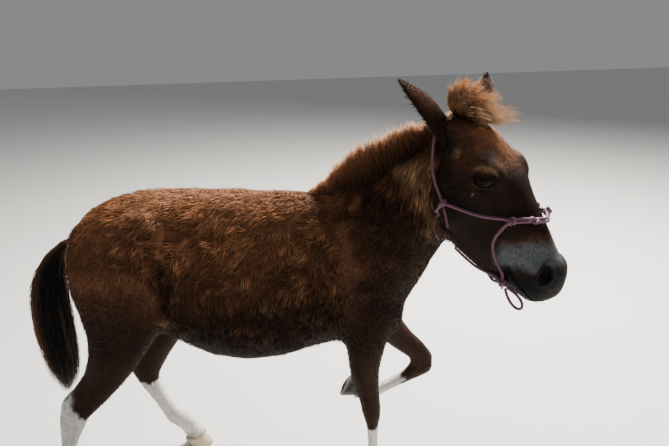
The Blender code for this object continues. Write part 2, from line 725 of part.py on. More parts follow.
# Halter, on the right side in the head frame; the left side mirrors it. Each route runs from knot to knot.
KNOTS = {
    "cheek": (0.155, -0.082, -0.121),
    "side": (0.280, -0.062, -0.008),
    "nose": (0.304, -0.040, 0.025),
}
CHIN_KNOT = (0.393, -0.042, -0.126)  # drawn over to the right
CROWN_ROUTE = ((0.108, -0.080, -0.112), (0.055, -0.080, -0.090), (0.014, -0.072, -0.058),
               (-0.016, -0.055, -0.038), (-0.028, -0.025, -0.026))
CHEEK_ROUTE = ((0.188, -0.085, -0.099), (0.230, -0.080, -0.063), (0.260, -0.070, -0.029))
# From the side knots down to the chin knot: the left rope goes round under the chin
CHIN_ROUTES = {
    "_right": ((0.281, -0.061, -0.036), (0.296, -0.060, -0.078), (0.316, -0.056, -0.096),
               (0.345, -0.051, -0.109), (0.369, -0.048, -0.113)),
    "_left": ((0.281, 0.061, -0.036), (0.296, 0.060, -0.078), (0.316, 0.056, -0.096),
              (0.352, 0.050, -0.120), (0.382, 0.040, -0.150), (0.401, 0.010, -0.170),
              (0.406, -0.022, -0.157)),
}
# From the chin knot back along the jaw and up behind it to the cheek knots
JAW_ROUTES = {
    "_right": ((0.366, -0.038, -0.147), (0.340, -0.033, -0.176), (0.316, -0.024, -0.197),
               (0.278, -0.034, -0.216), (0.235, -0.050, -0.222), (0.190, -0.062, -0.205),
               (0.165, -0.075, -0.165)),
    "_left": ((0.383, -0.029, -0.157), (0.364, -0.004, -0.184), (0.324, 0.024, -0.202),
              (0.280, 0.036, -0.215), (0.235, 0.050, -0.222), (0.190, 0.062, -0.205),
              (0.165, 0.075, -0.165)),
}
NOSE_MIDDLE = (0.318, 0.0, 0.030)
NOSE_SPREAD = ROPE / 2 + GAP  # half the spacing of the two ropes over the nose
ROPE_STEP = 0.024
ROPE_CLEARANCE = 0.0006  # room under a rope
KNOT_CLEARANCE = 0.0015  # from a knot to the middle of a rope's end
LOOP_LENGTH = 0.062  # the loop that hangs from the chin knot
LOOP_HALF_WIDTH = 0.017
LOOP_HANGS = (0.50, -0.54, -0.68)
LOOP_STEPS = 14
# The halter's free end, from the cheek knot
END_ROUTE = ((0.0, 0.0, 0.0), (0.014, 0.0, -0.006), (0.033, 0.001, -0.014), (0.056, 0.002, -0.026))
END_THICKNESS = 0.0052


def smooth_route(points, step):
    """Evenly spaced points on a smooth curve through the given ones."""
    fine = []
    padded = [points[0] * 2 - points[1], *points, points[-1] * 2 - points[-2]]
    for before, start, end, after in zip(padded, padded[1:], padded[2:], padded[3:]):
        for index in range(16):
            t = index / 16
            fine.append(0.5 * (
                2 * start + (end - before) * t + (2 * before - 5 * start + 4 * end - after) * t * t
                + (3 * start - before - 3 * end + after) * t ** 3
            ))
    fine.append(points[-1])
    lengths = [0.0]
    for start, end in zip(fine, fine[1:]):
        lengths.append(lengths[-1] + (end - start).length)
    count = max(2, round(lengths[-1] / step))
    even, place = [], 0
    for index in range(count + 1):
        wanted = lengths[-1] * index / count
        while place < len(fine) - 2 and lengths[place + 1] < wanted:
            place += 1
        share = (wanted - lengths[place]) / max(lengths[place + 1] - lengths[place], 1e-9)
        even.append(fine[place].lerp(fine[place + 1], min(share, 1.0)))
    return even


def laid_on(surface, points, lift):
    """The points moved onto the surface and out from it by the lift."""
    laid = []
    for point in points:
        place, normal, _, _ = surface.find_nearest(point)
        laid.append(place + normal * lift)
    return laid


def raised_clear(surface, points, clear):
    """The route with its inner points raised until no straight length is nearer the surface than `clear`."""
    points = list(points)
    for _ in range(8):
        for index in range(len(points) - 1):
            for share in (0.25, 0.5, 0.75):
                middle = points[index].lerp(points[index + 1], share)
                place, normal, _, _ = surface.find_nearest(middle)
                missing = clear - (middle - place).dot(normal)
                if missing > 0:
                    for end in {max(index, 1), min(index + 1, len(points) - 2)}:
                        points[end] = points[end] + normal * missing
    return points


def clear_of_knots(points, knots):
    """The route without its ends inside the knots it runs between."""
    radius = KNOT + KNOT_CLEARANCE
    for knot, order in zip(knots, (1, -1)):
        path = points[::order]
        index = next(i for i, point in enumerate(path) if (point - knot).length > radius)
        inside, outside = path[index - 1], path[index]
        for _ in range(20):
            start = (inside + outside) / 2
            if (start - knot).length < radius:
                inside = start
            else:
                outside = start
        far_enough = (path[index] - start).length > ROPE_STEP * 0.35
        rest = path[index:] if far_enough else path[index + 1:]
        points = [start, *rest][::order]
    return points


def make_rope(name, points, thickness=ROPE):
    curve = bpy.data.curves.new(name, "CURVE")
    curve.dimensions = "3D"
    curve.bevel_depth = thickness / 2
    curve.bevel_resolution = 1
    curve.use_fill_caps = True
    spline = curve.splines.new("POLY")
    spline.points.add(len(points) - 1)
    for place, point in zip(spline.points, points):
        place.co = (*point, 1.0)
    guide = bpy.data.objects.new(name + "_guide", curve)
    bpy.context.scene.collection.objects.link(guide)
    mesh = evaluated_mesh(guide)
    drop(guide)
    return add_object(name, mesh, "rope")


def make_knot(name, centre):
    bm = bmesh.new()
    add_mass(bm, centre, (KNOT,) * 3, fineness=2)
    return add_object(name, mesh_from(bm, name), "rope")


def mirrored(point, side):
    return in_head(point[0], -side * point[1], point[2])


def hanging_loop(knot):
    """A drop-shaped loop that leaves the knot and returns to it."""
    down = Vector(LOOP_HANGS).normalized()
    across = down.cross(head_frame()[1]).normalized()
    points = []
    for index in range(1, LOOP_STEPS):
        angle = 2 * math.pi * index / LOOP_STEPS
        reach = KNOT + LOOP_LENGTH * (1 - math.cos(angle)) / 2
        spread = LOOP_HALF_WIDTH * math.sin(angle) * math.sin(angle / 2) ** 0.8
        points.append(knot + down * reach + across * spread)
    return points


def make_halter(surface):
    """Knots and ropes of the halter; returns the rope over the poll."""
    lift, knot_lift = ROPE / 2 + ROPE_CLEARANCE, KNOT + GAP * 2
    places = {}
    for name, point in KNOTS.items():
        for side, label in ((RIGHT, "_right"), (LEFT, "_left")):
            places[name + label] = laid_on(surface, [mirrored(point, side)], knot_lift)[0]
    places["chin"] = laid_on(surface, [in_head(*CHIN_KNOT)], knot_lift)[0]
    for name, centre in places.items():
        make_knot("halter_knot_" + name, centre)

    def rope_between(name, first, route, last, offset=Vector()):
        ends = [places[first] + offset, places[last] + offset]
        raw = smooth_route([ends[0], *route, ends[1]], ROPE_STEP)
        points = [ends[0], *laid_on(surface, raw[1:-1], lift), ends[1]]
        if len(points) > 2:
            points = raised_clear(surface, points, lift)
        return make_rope(name, clear_of_knots(points, (places[first], places[last])))

    over_poll = [mirrored(point, RIGHT) for point in CROWN_ROUTE]
    over_poll += [mirrored(point, LEFT) for point in reversed(CROWN_ROUTE)]
    crown = rope_between("halter_crown", "cheek_right", over_poll, "cheek_left")
    for side, label in ((RIGHT, "_right"), (LEFT, "_left")):
        cheek, side_knot = "cheek" + label, "side" + label
        rope_between("halter_cheek" + label, cheek, [mirrored(point, side) for point in CHEEK_ROUTE], side_knot)
        rope_between("halter_chin" + label, side_knot, [in_head(*point) for point in CHIN_ROUTES[label]], "chin")
        rope_between("halter_jaw" + label, "chin", [in_head(*point) for point in JAW_ROUTES[label]], cheek)
    for strand, sign in (("upper", -1), ("lower", 1)):
        offset = head_frame()[0] * NOSE_SPREAD * sign
        for label in ("_right", "_left"):
            rope_between(f"halter_nose_{strand}{label}", "side" + label, [], "nose" + label, offset)
        middle = in_head(*NOSE_MIDDLE) + offset
        rope_between(f"halter_nose_{strand}", "nose_right", [middle], "nose_left", offset)
    make_rope("halter_loop", hanging_loop(places["chin"]))
    shift = places["cheek_right"] - POLL
    free_end = smooth_route([in_head(*point) + shift for point in END_ROUTE], END_THICKNESS * 2)
    free_end = clear_of_knots(free_end, (places["cheek_right"],))
    make_rope("halter_end", free_end, END_THICKNESS)
    return crown


def shift_to_middle():
    """Stands the middle of the whole model's box over the origin."""
    graph = bpy.context.evaluated_depsgraph_get()
    low, high = Vector((9, 9, 9)), Vector((-9, -9, -9))
    for obj in bpy.context.scene.objects:
        if obj.hide_render:
            continue
        shape = obj.evaluated_get(graph).to_mesh()
        for vert in shape.vertices:
            low = Vector(map(min, low, vert.co))
            high = Vector(map(max, high, vert.co))
    shift = Matrix.Translation((-(low.x + high.x) / 2, -(low.y + high.y) / 2, -low.z))
    for obj in bpy.context.scene.objects:
        obj.data.transform(shift)


def main():
    clear_scene()
    flesh = fused_flesh()
    thin_out(flesh)
    surface = BVHTree.FromPolygons(
        [vert.co.copy() for vert in flesh.data.vertices],
        [tuple(face.vertices) for face in flesh.data.polygons],
    )
    for name in HOOVES:
        trim_leg(flesh, name)
        make_hoof(name)
    pieces = part_flesh(flesh)
    head, neck, trunk = pieces["head"], pieces["neck"], pieces["trunk"]
    for name, side in (("eye_right", RIGHT), ("eye_left", LEFT)):
        open_socket(head, make_eye(name, side))
    crown = make_halter(surface)
    ears = [make_ear(name) for name in EARS]
    for ear in ears:
        cut_from(ear, (head, neck, crown))
    mane, forelock = make_mane(), make_forelock()
    cut_from(mane, (trunk, neck, head, crown, *ears))
    cut_from(forelock, (head, neck, crown, *ears, mane))
    cut_from(make_tail(), (trunk,))
    shift_to_middle()


main()
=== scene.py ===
# A small shaggy donkey as a still model: skin, coat, mane, tail, eyes, hooves and rope halter.
import math
import bmesh
import bpy
import numpy as np
from mathutils import Matrix, Vector
from mathutils.bvhtree import BVHTree
from mathutils.kdtree import KDTree


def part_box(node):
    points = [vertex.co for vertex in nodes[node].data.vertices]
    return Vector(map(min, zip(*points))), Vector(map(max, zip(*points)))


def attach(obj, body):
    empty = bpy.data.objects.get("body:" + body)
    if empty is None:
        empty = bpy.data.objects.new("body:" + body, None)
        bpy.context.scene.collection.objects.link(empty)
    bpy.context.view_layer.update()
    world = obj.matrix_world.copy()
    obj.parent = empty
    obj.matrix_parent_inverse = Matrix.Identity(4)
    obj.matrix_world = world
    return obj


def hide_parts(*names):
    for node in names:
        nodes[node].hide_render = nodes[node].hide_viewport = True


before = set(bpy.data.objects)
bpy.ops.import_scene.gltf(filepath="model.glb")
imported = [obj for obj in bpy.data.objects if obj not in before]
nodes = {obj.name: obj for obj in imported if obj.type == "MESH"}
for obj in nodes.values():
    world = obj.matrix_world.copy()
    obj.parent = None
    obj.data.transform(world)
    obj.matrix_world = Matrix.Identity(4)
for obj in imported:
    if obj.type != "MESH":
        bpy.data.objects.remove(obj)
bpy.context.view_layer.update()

rand = np.random.default_rng(7)
scene = bpy.context.scene
hairShare = 1.0

# The head has its own axes, ahead to the muzzle, left, and up to the brow, from the poll. The body's start
# on the floor under the withers. Both are found from the middles of the two eyes.
pose = {"headTurn": -41.0, "headDrop": 50.0, "eye": (0.166, 0.0755, -0.001), "eyeRadius": 0.024,
        "pollOverFloor": (0.338, -0.120, 1.119)}


def boxMiddle(node):
    low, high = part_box(node)
    return (low + high) / 2


turn, fall = math.radians(pose["headTurn"]), math.radians(pose["headDrop"])
ahead = Vector((math.cos(fall) * math.cos(turn), math.cos(fall) * math.sin(turn), -math.sin(fall)))
left = Vector((-math.sin(turn), math.cos(turn), 0.0))
headAxes = Matrix((ahead, left, ahead.cross(left)))
eyesMiddle = (boxMiddle("eye_left") + boxMiddle("eye_right")) / 2
poll = eyesMiddle - headAxes.transposed() @ Vector((pose["eye"][0], 0, pose["eye"][2]))
withers = poll - Vector(pose["pollOverFloor"])
headRows, pollPlace, withersPlace = np.array(headAxes), np.array(poll), np.array(withers)


def onHead(a, c, u):
    # the place in the scene of one so far ahead, to the left and up on the head
    return poll + headAxes.transposed() @ Vector((a, c, u))


def onBody(x, y, z):
    return withers + Vector((x, y, z))


def headPlaces(points):
    return (points - pollPlace) @ headRows.T


def bodyPlaces(points):
    return points - withersPlace


def ease(value, start, end):
    # 0 before start, 1 after end, smooth between
    t = np.clip((value - start) / (end - start), 0, 1)
    return t * t * (3 - 2 * t)


def blob(places, middle, radii):
    # 1 at the middle, fading out over the radii
    return np.exp(-(((places - np.array(middle)) / np.array(radii)) ** 2).sum(1))


def wander(places, size, seed):
    # smooth noise of about that size, from -1 to 1
    wave = np.random.default_rng(seed)
    total = np.zeros(len(places))
    for _ in range(7):
        way = wave.normal(size=3)
        way *= 2 * math.pi / (size * np.linalg.norm(way)) * wave.uniform(0.7, 1.5)
        total += np.sin(places @ way + wave.uniform(0, 6.3))
    return total / 3.2


def unit(vectors):
    return vectors / np.maximum(np.linalg.norm(vectors, axis=-1, keepdims=True), 1e-9)


def flattened(ways, normals):
    # the ways laid down on the surface
    return unit(ways - normals * (ways * normals).sum(1)[:, None])


def between(at, stops, rows):
    # rows of values read off between the stops
    rows = np.array(rows)
    return np.stack([np.interp(at, stops, rows[:, k]) for k in range(rows.shape[1])], -1)


# The camera stands where the animal is seen from its right side, a little above its back.
view = {"place": (0.02, -1.60, 1.365), "pitch": 19.1, "roll": -1.9, "lens": 32.8251, "sensor": 36.0}


def makeCamera():
    data = bpy.data.cameras.new("camera")
    camera = bpy.data.objects.new("camera", data)
    scene.collection.objects.link(camera)
    data.sensor_width = view["sensor"]
    data.lens = view["lens"]
    pitch, roll = math.radians(view["pitch"]), math.radians(view["roll"])
    look = Vector((0, math.cos(pitch), -math.sin(pitch)))
    up = Vector((0, math.sin(pitch), math.cos(pitch)))
    across = Vector((1, 0, 0)) * math.cos(roll) + up * math.sin(roll)
    rise = up * math.cos(roll) - Vector((1, 0, 0)) * math.sin(roll)
    camera.matrix_world = Matrix((across, rise, -look)).transposed().to_4x4()
    camera.location = onBody(*view["place"])
    scene.camera = camera


lamps = {
    "sun": {"from": (1.3, 1.9, 3.6), "size": 1.2, "power": 740.0, "colour": (1.0, 0.95, 0.88)},
    "sky": {"from": (-0.6, -2.6, 3.2), "size": 3.0, "power": 26.0, "colour": (0.86, 0.93, 1.0)},
}
room = {"ambient": 0.27, "tint": (0.93, 0.96, 1.0), "aim": (0, 0, 0.6),
        "floorColour": (0.72, 0.71, 0.69), "floorSize": 12.0, "floorGrain": 1.5, "floorShades": (0.97, 1.03)}


def principled(name, roughness, **sockets):
    made = bpy.data.materials.new(name)
    made.use_nodes = True
    tree, shader = made.node_tree, made.node_tree.nodes["Principled BSDF"]
    feed(tree, shader, {"Roughness": roughness})
    feed(tree, shader, {socket.replace("_", " "): value for socket, value in sockets.items()})
    return made, tree, shader


def feed(tree, node, sockets):
    # each socket takes a plain value or what comes out of another node
    for socket, value in sockets.items():
        if isinstance(value, bpy.types.NodeSocket):
            tree.links.new(value, node.inputs[socket])
        else:
            node.inputs[socket].default_value = value


def addNode(tree, kind, sockets, out=0, **values):
    # a node with its settings and sockets; gives back one of its outputs
    node = tree.nodes.new("ShaderNode" + kind)
    for key, value in values.items():
        setattr(node, key, value)
    feed(tree, node, sockets)
    return node.outputs[out]


def reckoned(tree, operation, *values):
    return addNode(tree, "Math", dict(enumerate(values)), operation=operation)


def stored(tree, name, out):
    return addNode(tree, "Attribute", {}, out, attribute_name=name)


def noiseOver(tree, place, scale):
    return addNode(tree, "TexNoise", {"Vector": place, "Scale": scale, "Detail": 2.0}, "Fac")


def objectPlace(tree):
    return addNode(tree, "TexCoord", {}, "Object")


def shaded(tree, colour, factor):
    return addNode(tree, "VectorMath", {0: colour, "Scale": factor}, operation="SCALE")


def spreadOver(tree, value, fromEnds, toEnds):
    ends = dict(zip(("From Min", "From Max", "To Min", "To Max"), (*fromEnds, *toEnds)))
    return addNode(tree, "MapRange", {"Value": value, **ends})


def raised(tree, height, strength, distance):
    return addNode(tree, "Bump", {"Height": height, "Strength": strength, "Distance": distance})


def makeRoom():
    for name, lamp in lamps.items():
        data = bpy.data.lights.new(name, "AREA")
        data.shape = "DISK"
        data.size = lamp["size"]
        data.energy = lamp["power"]
        data.color = lamp["colour"]
        light = bpy.data.objects.new(name, data)
        scene.collection.objects.link(light)
        light.location = lamp["from"]
        way = Vector(room["aim"]) - Vector(lamp["from"])
        light.rotation_euler = way.to_track_quat("-Z", "Y").to_euler()
    scene.world = bpy.data.worlds.new("studio")
    scene.world.use_nodes = True
    tree = scene.world.node_tree
    feed(tree, tree.nodes["Background"], {"Color": (*room["tint"], 1), "Strength": room["ambient"]})
    bm = bmesh.new()
    bmesh.ops.create_grid(bm, x_segments=1, y_segments=1, size=room["floorSize"])
    floor = addPiece("floor", bm)
    paint, tree, shader = principled("floorPaint", 0.9)
    grain = noiseOver(tree, objectPlace(tree), room["floorGrain"])
    tint = shaded(tree, room["floorColour"], spreadOver(tree, grain, (0, 1), room["floorShades"]))
    feed(tree, shader, {"Base Color": tint})
    floor.data.materials.append(paint)


def addPiece(name, bm):
    mesh = bpy.data.meshes.new(name)
    bm.to_mesh(mesh)
    bm.free()
    return addMeshPiece(name, mesh)


def addMeshPiece(name, mesh):
    piece = bpy.data.objects.new(name, mesh)
    scene.collection.objects.link(piece)
    return piece


def settle(piece, replaced=(), paint=None):
    if paint is not None:
        piece.data.materials.clear()
        piece.data.materials.append(paint)
    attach(piece, "root")
    if replaced:
        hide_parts(*replaced)


def meshOf(obj):
    graph = bpy.context.evaluated_depsgraph_get()
    return bpy.data.meshes.new_from_object(obj.evaluated_get(graph))


def read(mesh, key):
    found = np.empty(len(mesh.vertices) * 3, np.float32)
    mesh.vertices.foreach_get(key, found)
    return found.reshape(-1, 3).astype(float)


def coordinates(mesh):
    return read(mesh, "co")


def normalsOf(mesh):
    return read(mesh, "normal")


def storePlaces(mesh, name, places):
    found = mesh.attributes.new(name, "FLOAT_VECTOR", "POINT")
    found.data.foreach_set("vector", places.astype(np.float32).ravel())


def storeColours(mesh, name, colours):
    # one colour for each point, opaque
    tints = np.column_stack([colours.reshape(-1, 3), np.ones(len(mesh.vertices))])
    found = mesh.attributes.new(name, "FLOAT_COLOR", "POINT")
    found.data.foreach_set("color", tints.astype(np.float32).ravel())


makeCamera()
makeRoom()
print("camera, light and floor")

# The rope halter: measures in metres, colours, and the weave.
halter = {
    "rope": 0.0072, "end": 0.0052, "knotStrand": 0.0070, "knotReach": 0.0098, "knotPoints": 72,
    "intoKnot": 0.006,
    # height of a rope's middle over the skin, under the coat and on the face
    "pressed": -0.0030, "held": 0.0044,
    "loopLength": 0.062, "loopHalfWidth": 0.017, "loopHangs": (0.50, -0.54, -0.68), "loopSteps": 14,
    "knotRadius": 0.0105, "knotClearance": 0.0015,
    "endRoute": ((0.0, 0.0, 0.0), (0.014, 0.0, -0.006), (0.033, 0.001, -0.014), (0.056, 0.002, -0.026)),
    # dark is the rope's tint in the grooves between strands, darkened there as painted shade; light is its
    # tint on their crowns
    "dark": (0.060, 0.016, 0.036, 1), "light": (0.235, 0.082, 0.140, 1), "carriers": 5.0, "pitch": 0.0065,
    "fuzz": 900, "relief": 0.0007, "lineStep": 0.003, "laidStep": 0.006, "layingIn": (0.004, 0.022),
}
knotNames = [name for name in nodes if name.startswith("halter_knot_")]
ropeNames = [name for name in nodes if name.startswith("halter_") and name not in knotNames]


def makeRopePaint():
    # two sets of strands wound left and right over each other, read from each point's place round and along
    paint, tree, shader = principled("braidedRope", 0.62, Sheen_Weight=0.15, Sheen_Roughness=0.4)
    place = stored(tree, "ropePlace", "Vector")
    x, y, along = (addNode(tree, "SeparateXYZ", {0: place}, axis) for axis in range(3))
    around = reckoned(tree, "MULTIPLY", reckoned(tree, "ARCTAN2", y, x), halter["carriers"] / 2)
    run = reckoned(tree, "MULTIPLY", along, math.pi / halter["pitch"] * 1.5)
    one, other = (reckoned(tree, "ABSOLUTE", reckoned(tree, "SINE", reckoned(tree, way, around, run)))
                  for way in ("ADD", "SUBTRACT"))
    weave = reckoned(tree, "MULTIPLY", one, other)
    fuzz = reckoned(tree, "MULTIPLY", noiseOver(tree, objectPlace(tree), halter["fuzz"]), 1.7)
    # painted shade: the tint goes dark in the grooves between the strands and light on their crowns
    shade = reckoned(tree, "MULTIPLY", reckoned(tree, "POWER", weave, 0.6), fuzz)
    tint = addNode(tree, "Mix", {"A": halter["dark"], "B": halter["light"], "Factor": shade}, "Result",
                   data_type="RGBA")
    feed(tree, shader, {"Base Color": tint, "Normal": raised(tree, weave, 0.8, halter["relief"])})
    return paint


def smoothLine(points, step):
    # evenly spaced points on a smooth curve through the given ones
    points = [Vector(point) for point in points]
    padded = [points[0] * 2 - points[1], *points, points[-1] * 2 - points[-2]]
    fine = []
    for before, start, end, after in zip(padded, padded[1:], padded[2:], padded[3:]):
        for index in range(16):
            t = index / 16
            bend = (2 * before - 5 * start + 4 * end - after) * t * t
            turn = (3 * start - before - 3 * end + after) * t ** 3
            fine.append(0.5 * (2 * start + (end - before) * t + bend + turn))
    fine = np.array([*fine, points[-1]])
    lengths = np.concatenate([[0], np.cumsum(np.linalg.norm(np.diff(fine, axis=0), axis=1))])
    at = np.linspace(0, lengths[-1], max(2, round(lengths[-1] / step)) + 1)
    return between(at, lengths, fine)


def cadLine(node):
    # the centre line of a CAD rope, ring by ring from one flat end to the other
    bm = bmesh.new()
    bm.from_mesh(nodes[node].data)
    bmesh.ops.remove_doubles(bm, verts=bm.verts, dist=0.00002)
    bmesh.ops.dissolve_limit(bm, angle_limit=0.004, verts=bm.verts, edges=bm.edges)
    bm.verts.index_update()
    cap = max(bm.faces, key=lambda face: len(face.verts))
    ring, seen, line = set(cap.verts), set(), []
    while ring:
        places = [vert.co for vert in sorted(ring, key=lambda vert: vert.index)]
        line.append(sum(places, Vector()) / len(ring))
        seen |= ring
        ring = {edge.other_vert(vert) for vert in ring for edge in vert.link_edges} - seen
    bm.free()
    return line


def tubeMesh(name, line, thickness, cyclic=False):
    curve = bpy.data.curves.new(name, "CURVE")
    curve.dimensions = "3D"
    curve.bevel_depth = thickness / 2
    curve.bevel_resolution = 4
    curve.use_fill_caps = True
    spline = curve.splines.new("POLY")
    spline.points.add(len(line) - 1)
    for place, point in zip(spline.points, line):
        place.co = (*point, 1.0)
    spline.use_cyclic_u = cyclic
    guide = bpy.data.objects.new(name + "Guide", curve)
    scene.collection.objects.link(guide)
    bpy.context.view_layer.update()
    mesh = meshOf(guide)
    bpy.data.objects.remove(guide)
    # each point's place round the rope and along it; the two end caps come before the rings
    lengths = np.concatenate([[0], np.cumsum(np.linalg.norm(np.diff(np.array(line), axis=0), axis=1))])
    rings = lengths if cyclic else np.concatenate([lengths[[-1, 0]], lengths])
    sides = len(mesh.vertices) // len(rings)
    angle = np.tile(np.arange(sides) / sides * 2 * math.pi, len(rings))
    storePlaces(mesh, "ropePlace", np.stack([np.cos(angle), np.sin(angle), np.repeat(rings, sides)], 1))
    mesh.shade_smooth()
    bm = bmesh.new()
    bm.from_mesh(mesh)
    bmesh.ops.remove_doubles(bm, verts=bm.verts, dist=0.00001)
    bm.to_mesh(mesh)
    bm.free()
    return mesh


def knotLine(centre, reach, lean):
    # an overhand knot pulled tight round the centre
    tilt = Matrix.Rotation(lean, 3, "Z") @ Matrix.Rotation(0.7 + lean, 3, "X")
    line = []
    for t in np.arange(halter["knotPoints"]) / halter["knotPoints"] * 2 * math.pi:
        across, over = math.sin(t) + 2 * math.sin(2 * t), math.cos(t) - 2 * math.cos(2 * t)
        line.append(centre + tilt @ Vector((across, over, -1.3 * math.sin(3 * t))) * (reach / 3))
    return line


def skinTree():
    return BVHTree.FromPolygons([tuple(place) for place in coordinates(skin.data)],
                                [tuple(polygon.vertices) for polygon in skin.data.polygons])


def underCoat(tree, name, line):
    # behind the face the jaw ropes press into the long coat, and between the ears the crown does
    line = smoothLine(line, halter["laidStep"])
    along = np.minimum(np.arange(len(line)), np.arange(len(line))[::-1]) * halter["laidStep"]
    if "jaw" in name:
        hidden = 1 - onFaceShare(line)
    else:
        hidden = 1 - ease(np.abs(headPlaces(line)[:, 1]), 0.040, 0.056)
    laid = []
    for point, share, free in zip(line, hidden, ease(along, *halter["layingIn"])):
        place, normal = tree.find_nearest(Vector(point))[:2]
        height = halter["held"] + (halter["pressed"] - halter["held"]) * share
        laid.append(Vector(point).lerp(place + normal * height, free * (share if "crown" in name else 1)))
    return laid


def makeHalter():
    paint = makeRopePaint()
    chin, cheek = boxMiddle("halter_knot_chin"), boxMiddle("halter_knot_cheek_right")
    down = Vector(halter["loopHangs"]).normalized()
    across = down.cross(left).normalized()
    loop = []
    for index in range(1, halter["loopSteps"]):
        angle = 2 * math.pi * index / halter["loopSteps"]
        reach = halter["knotRadius"] + halter["loopLength"] * (1 - math.cos(angle)) / 2
        spread = halter["loopHalfWidth"] * math.sin(angle) * math.sin(angle / 2) ** 0.8
        loop.append(chin + down * reach + across * spread)
    toCheek = cheek - poll
    end = smoothLine([onHead(*point) + toCheek for point in halter["endRoute"]], 0.002)
    clear = halter["knotRadius"] + halter["knotClearance"]
    end = end[np.linalg.norm(end - np.array(cheek), axis=1) > clear]
    for name, node, line, thickness, farEnd in (
        ("rope_loop", "halter_loop", smoothLine(loop, 0.0025), halter["rope"], "object"),
        ("rope_end", "halter_end", end, halter["end"], "bare"),
    ):
        piece = addMeshPiece(name, tubeMesh(name, line, thickness))
        settle(piece, [node], paint)
    tight = [name for name in ropeNames if name not in ("halter_loop", "halter_end")]
    tree = skinTree()
    bm = bmesh.new()
    for name in tight:
        line = cadLine(name)
        if "jaw" in name or "crown" in name:
            line = underCoat(tree, name, line)
        line = [line[0] + (line[0] - line[1]).normalized() * halter["intoKnot"], *line,
                line[-1] + (line[-1] - line[-2]).normalized() * halter["intoKnot"]]
        bm.from_mesh(tubeMesh(name, smoothLine(line, halter["lineStep"]), halter["rope"]))
    settle(addPiece("rope_halter", bm), tight, paint)
    bm = bmesh.new()
    for index, name in enumerate(knotNames):
        line = knotLine(boxMiddle(name), halter["knotReach"], index * 1.3)
        bm.from_mesh(tubeMesh(name, line, halter["knotStrand"], cyclic=True))
    settle(addPiece("rope_knots", bm), knotNames, paint)


# The skin: one smooth surface under the coat, with the relief of muscles, eyelids, nostrils and lips.
skinShape = {
    "grain": 0.0074, "smoothing": 6, "seamSmoothing": 12,
    "legs": ("fore_left", "fore_right", "hind_left", "hind_right"),
    # how deep the skin lies under the tips of the coat
    "depth": {"trunk": 0.0125, "thigh": 0.0060, "neck": 0.0120, "leg": 0.0040, "head": 0.0042,
              "muzzle": 0.0016},
}
flesh = ["trunk", "neck", "head"] + [leg + part for leg in skinShape["legs"] for part in ("_upper", "_lower")]

# Relief of the body, along the skin's normal: middle, reach, height. Both sides alike.
bodyRelief = (
    ((0.055, 0.115, 0.740), (0.035, 0.06, 0.100), 0.006),  # shoulder blade
    ((-0.030, 0.135, 0.690), (0.020, 0.06, 0.100), -0.006),  # behind the shoulder
    ((0.020, 0.120, 0.560), (0.050, 0.06, 0.045), 0.005),  # triceps
    ((-0.020, 0.110, 0.500), (0.018, 0.05, 0.040), -0.005),  # behind the elbow
    ((-0.405, 0.150, 0.690), (0.030, 0.06, 0.075), -0.010),  # flank
    ((-0.440, 0.140, 0.800), (0.045, 0.05, 0.030), 0.004),  # point of the hip
    ((-0.430, 0.130, 0.590), (0.035, 0.05, 0.050), 0.006),  # stifle
    ((-0.620, 0.120, 0.690), (0.018, 0.05, 0.110), -0.004),  # groove behind the thigh
)
# The same for the head, in its own axes.
headRelief = (
    ((0.118, 0.060, 0.040), (0.022, 0.018, 0.020), -0.0035),  # hollow over the eye
    ((0.172, 0.060, 0.038), (0.032, 0.018, 0.014), 0.0040),  # brow
    ((0.212, 0.074, -0.028), (0.045, 0.020, 0.012), 0.0040),  # cheek bone
    ((0.262, 0.060, -0.072), (0.045, 0.030, 0.030), -0.0045),  # hollow of the cheek
    ((0.300, 0.045, -0.160), (0.050, 0.030, 0.018), -0.0030),
    ((0.110, 0.088, -0.130), (0.050, 0.030, 0.045), 0.0040),  # jaw muscle
    ((0.405, 0.047, -0.020), (0.020, 0.016, 0.022), 0.0050),  # wing of the nostril
    ((0.452, 0.034, -0.040), (0.014, 0.014, 0.020), 0.0045),
    ((0.385, 0.050, -0.070), (0.030, 0.020, 0.022), 0.0020),  # whisker pad
)


def joined(names):
    # merged copies of CAD nodes in one mesh
    bm = bmesh.new()
    for name in names:
        bm.from_mesh(nodes[name].data)
    bmesh.ops.remove_doubles(bm, verts=bm.verts, dist=0.00002)
    return bm


# The rear edge of the head, and of the face, under which the long hair of neck and throat comes out:
# heights, then places along the head.
headEdge = ((-0.250, -0.222, -0.185, -0.12, -0.03, 0.06), (0.24, 0.130, 0.085, 0.04, -0.015, -0.05))
faceEdge = ((-0.25, -0.20, -0.171, -0.166, -0.134, -0.10, -0.059, -0.023, 0.0, 0.06),
            (0.29, 0.25, 0.217, 0.186, 0.119, 0.090, 0.058, 0.020, -0.02, -0.05))


def onHeadShare(points):
    # 1 on the head, 0 on neck and body: the head ends behind the jaw
    h = headPlaces(points)
    jaw = np.interp(h[:, 2], *headEdge)
    return ease(h[:, 0] - jaw, -0.012, 0.012) * ease(h[:, 2], -0.262, -0.244) * ease(h[:, 0], -0.08, -0.05)


def beyondEdge(points):
    h = headPlaces(points)
    return h[:, 0] - np.interp(h[:, 2], *faceEdge)


def onFaceShare(points):
    return onHeadShare(points) * ease(beyondEdge(points), -0.007, 0.007)


def onNeckShare(points):
    b = bodyPlaces(points)
    across = (b[:, 0] - 0.12) * 0.815 + (b[:, 2] - 0.765) * 0.58
    return ease(across, -0.05, 0.04) * ease(b[:, 2], 0.52, 0.62) * (1 - onFaceShare(points))


def onLegShare(points):
    # 0 on the trunk, 1 from the forearm and the gaskin down
    b = bodyPlaces(points)
    fore = ease(b[:, 2], 0.52, 0.44) * (b[:, 0] > -0.2)
    hind = ease(b[:, 2], 0.56, 0.44) * (b[:, 0] <= -0.2)
    return np.maximum(fore, hind) * (1 - onHeadShare(points))


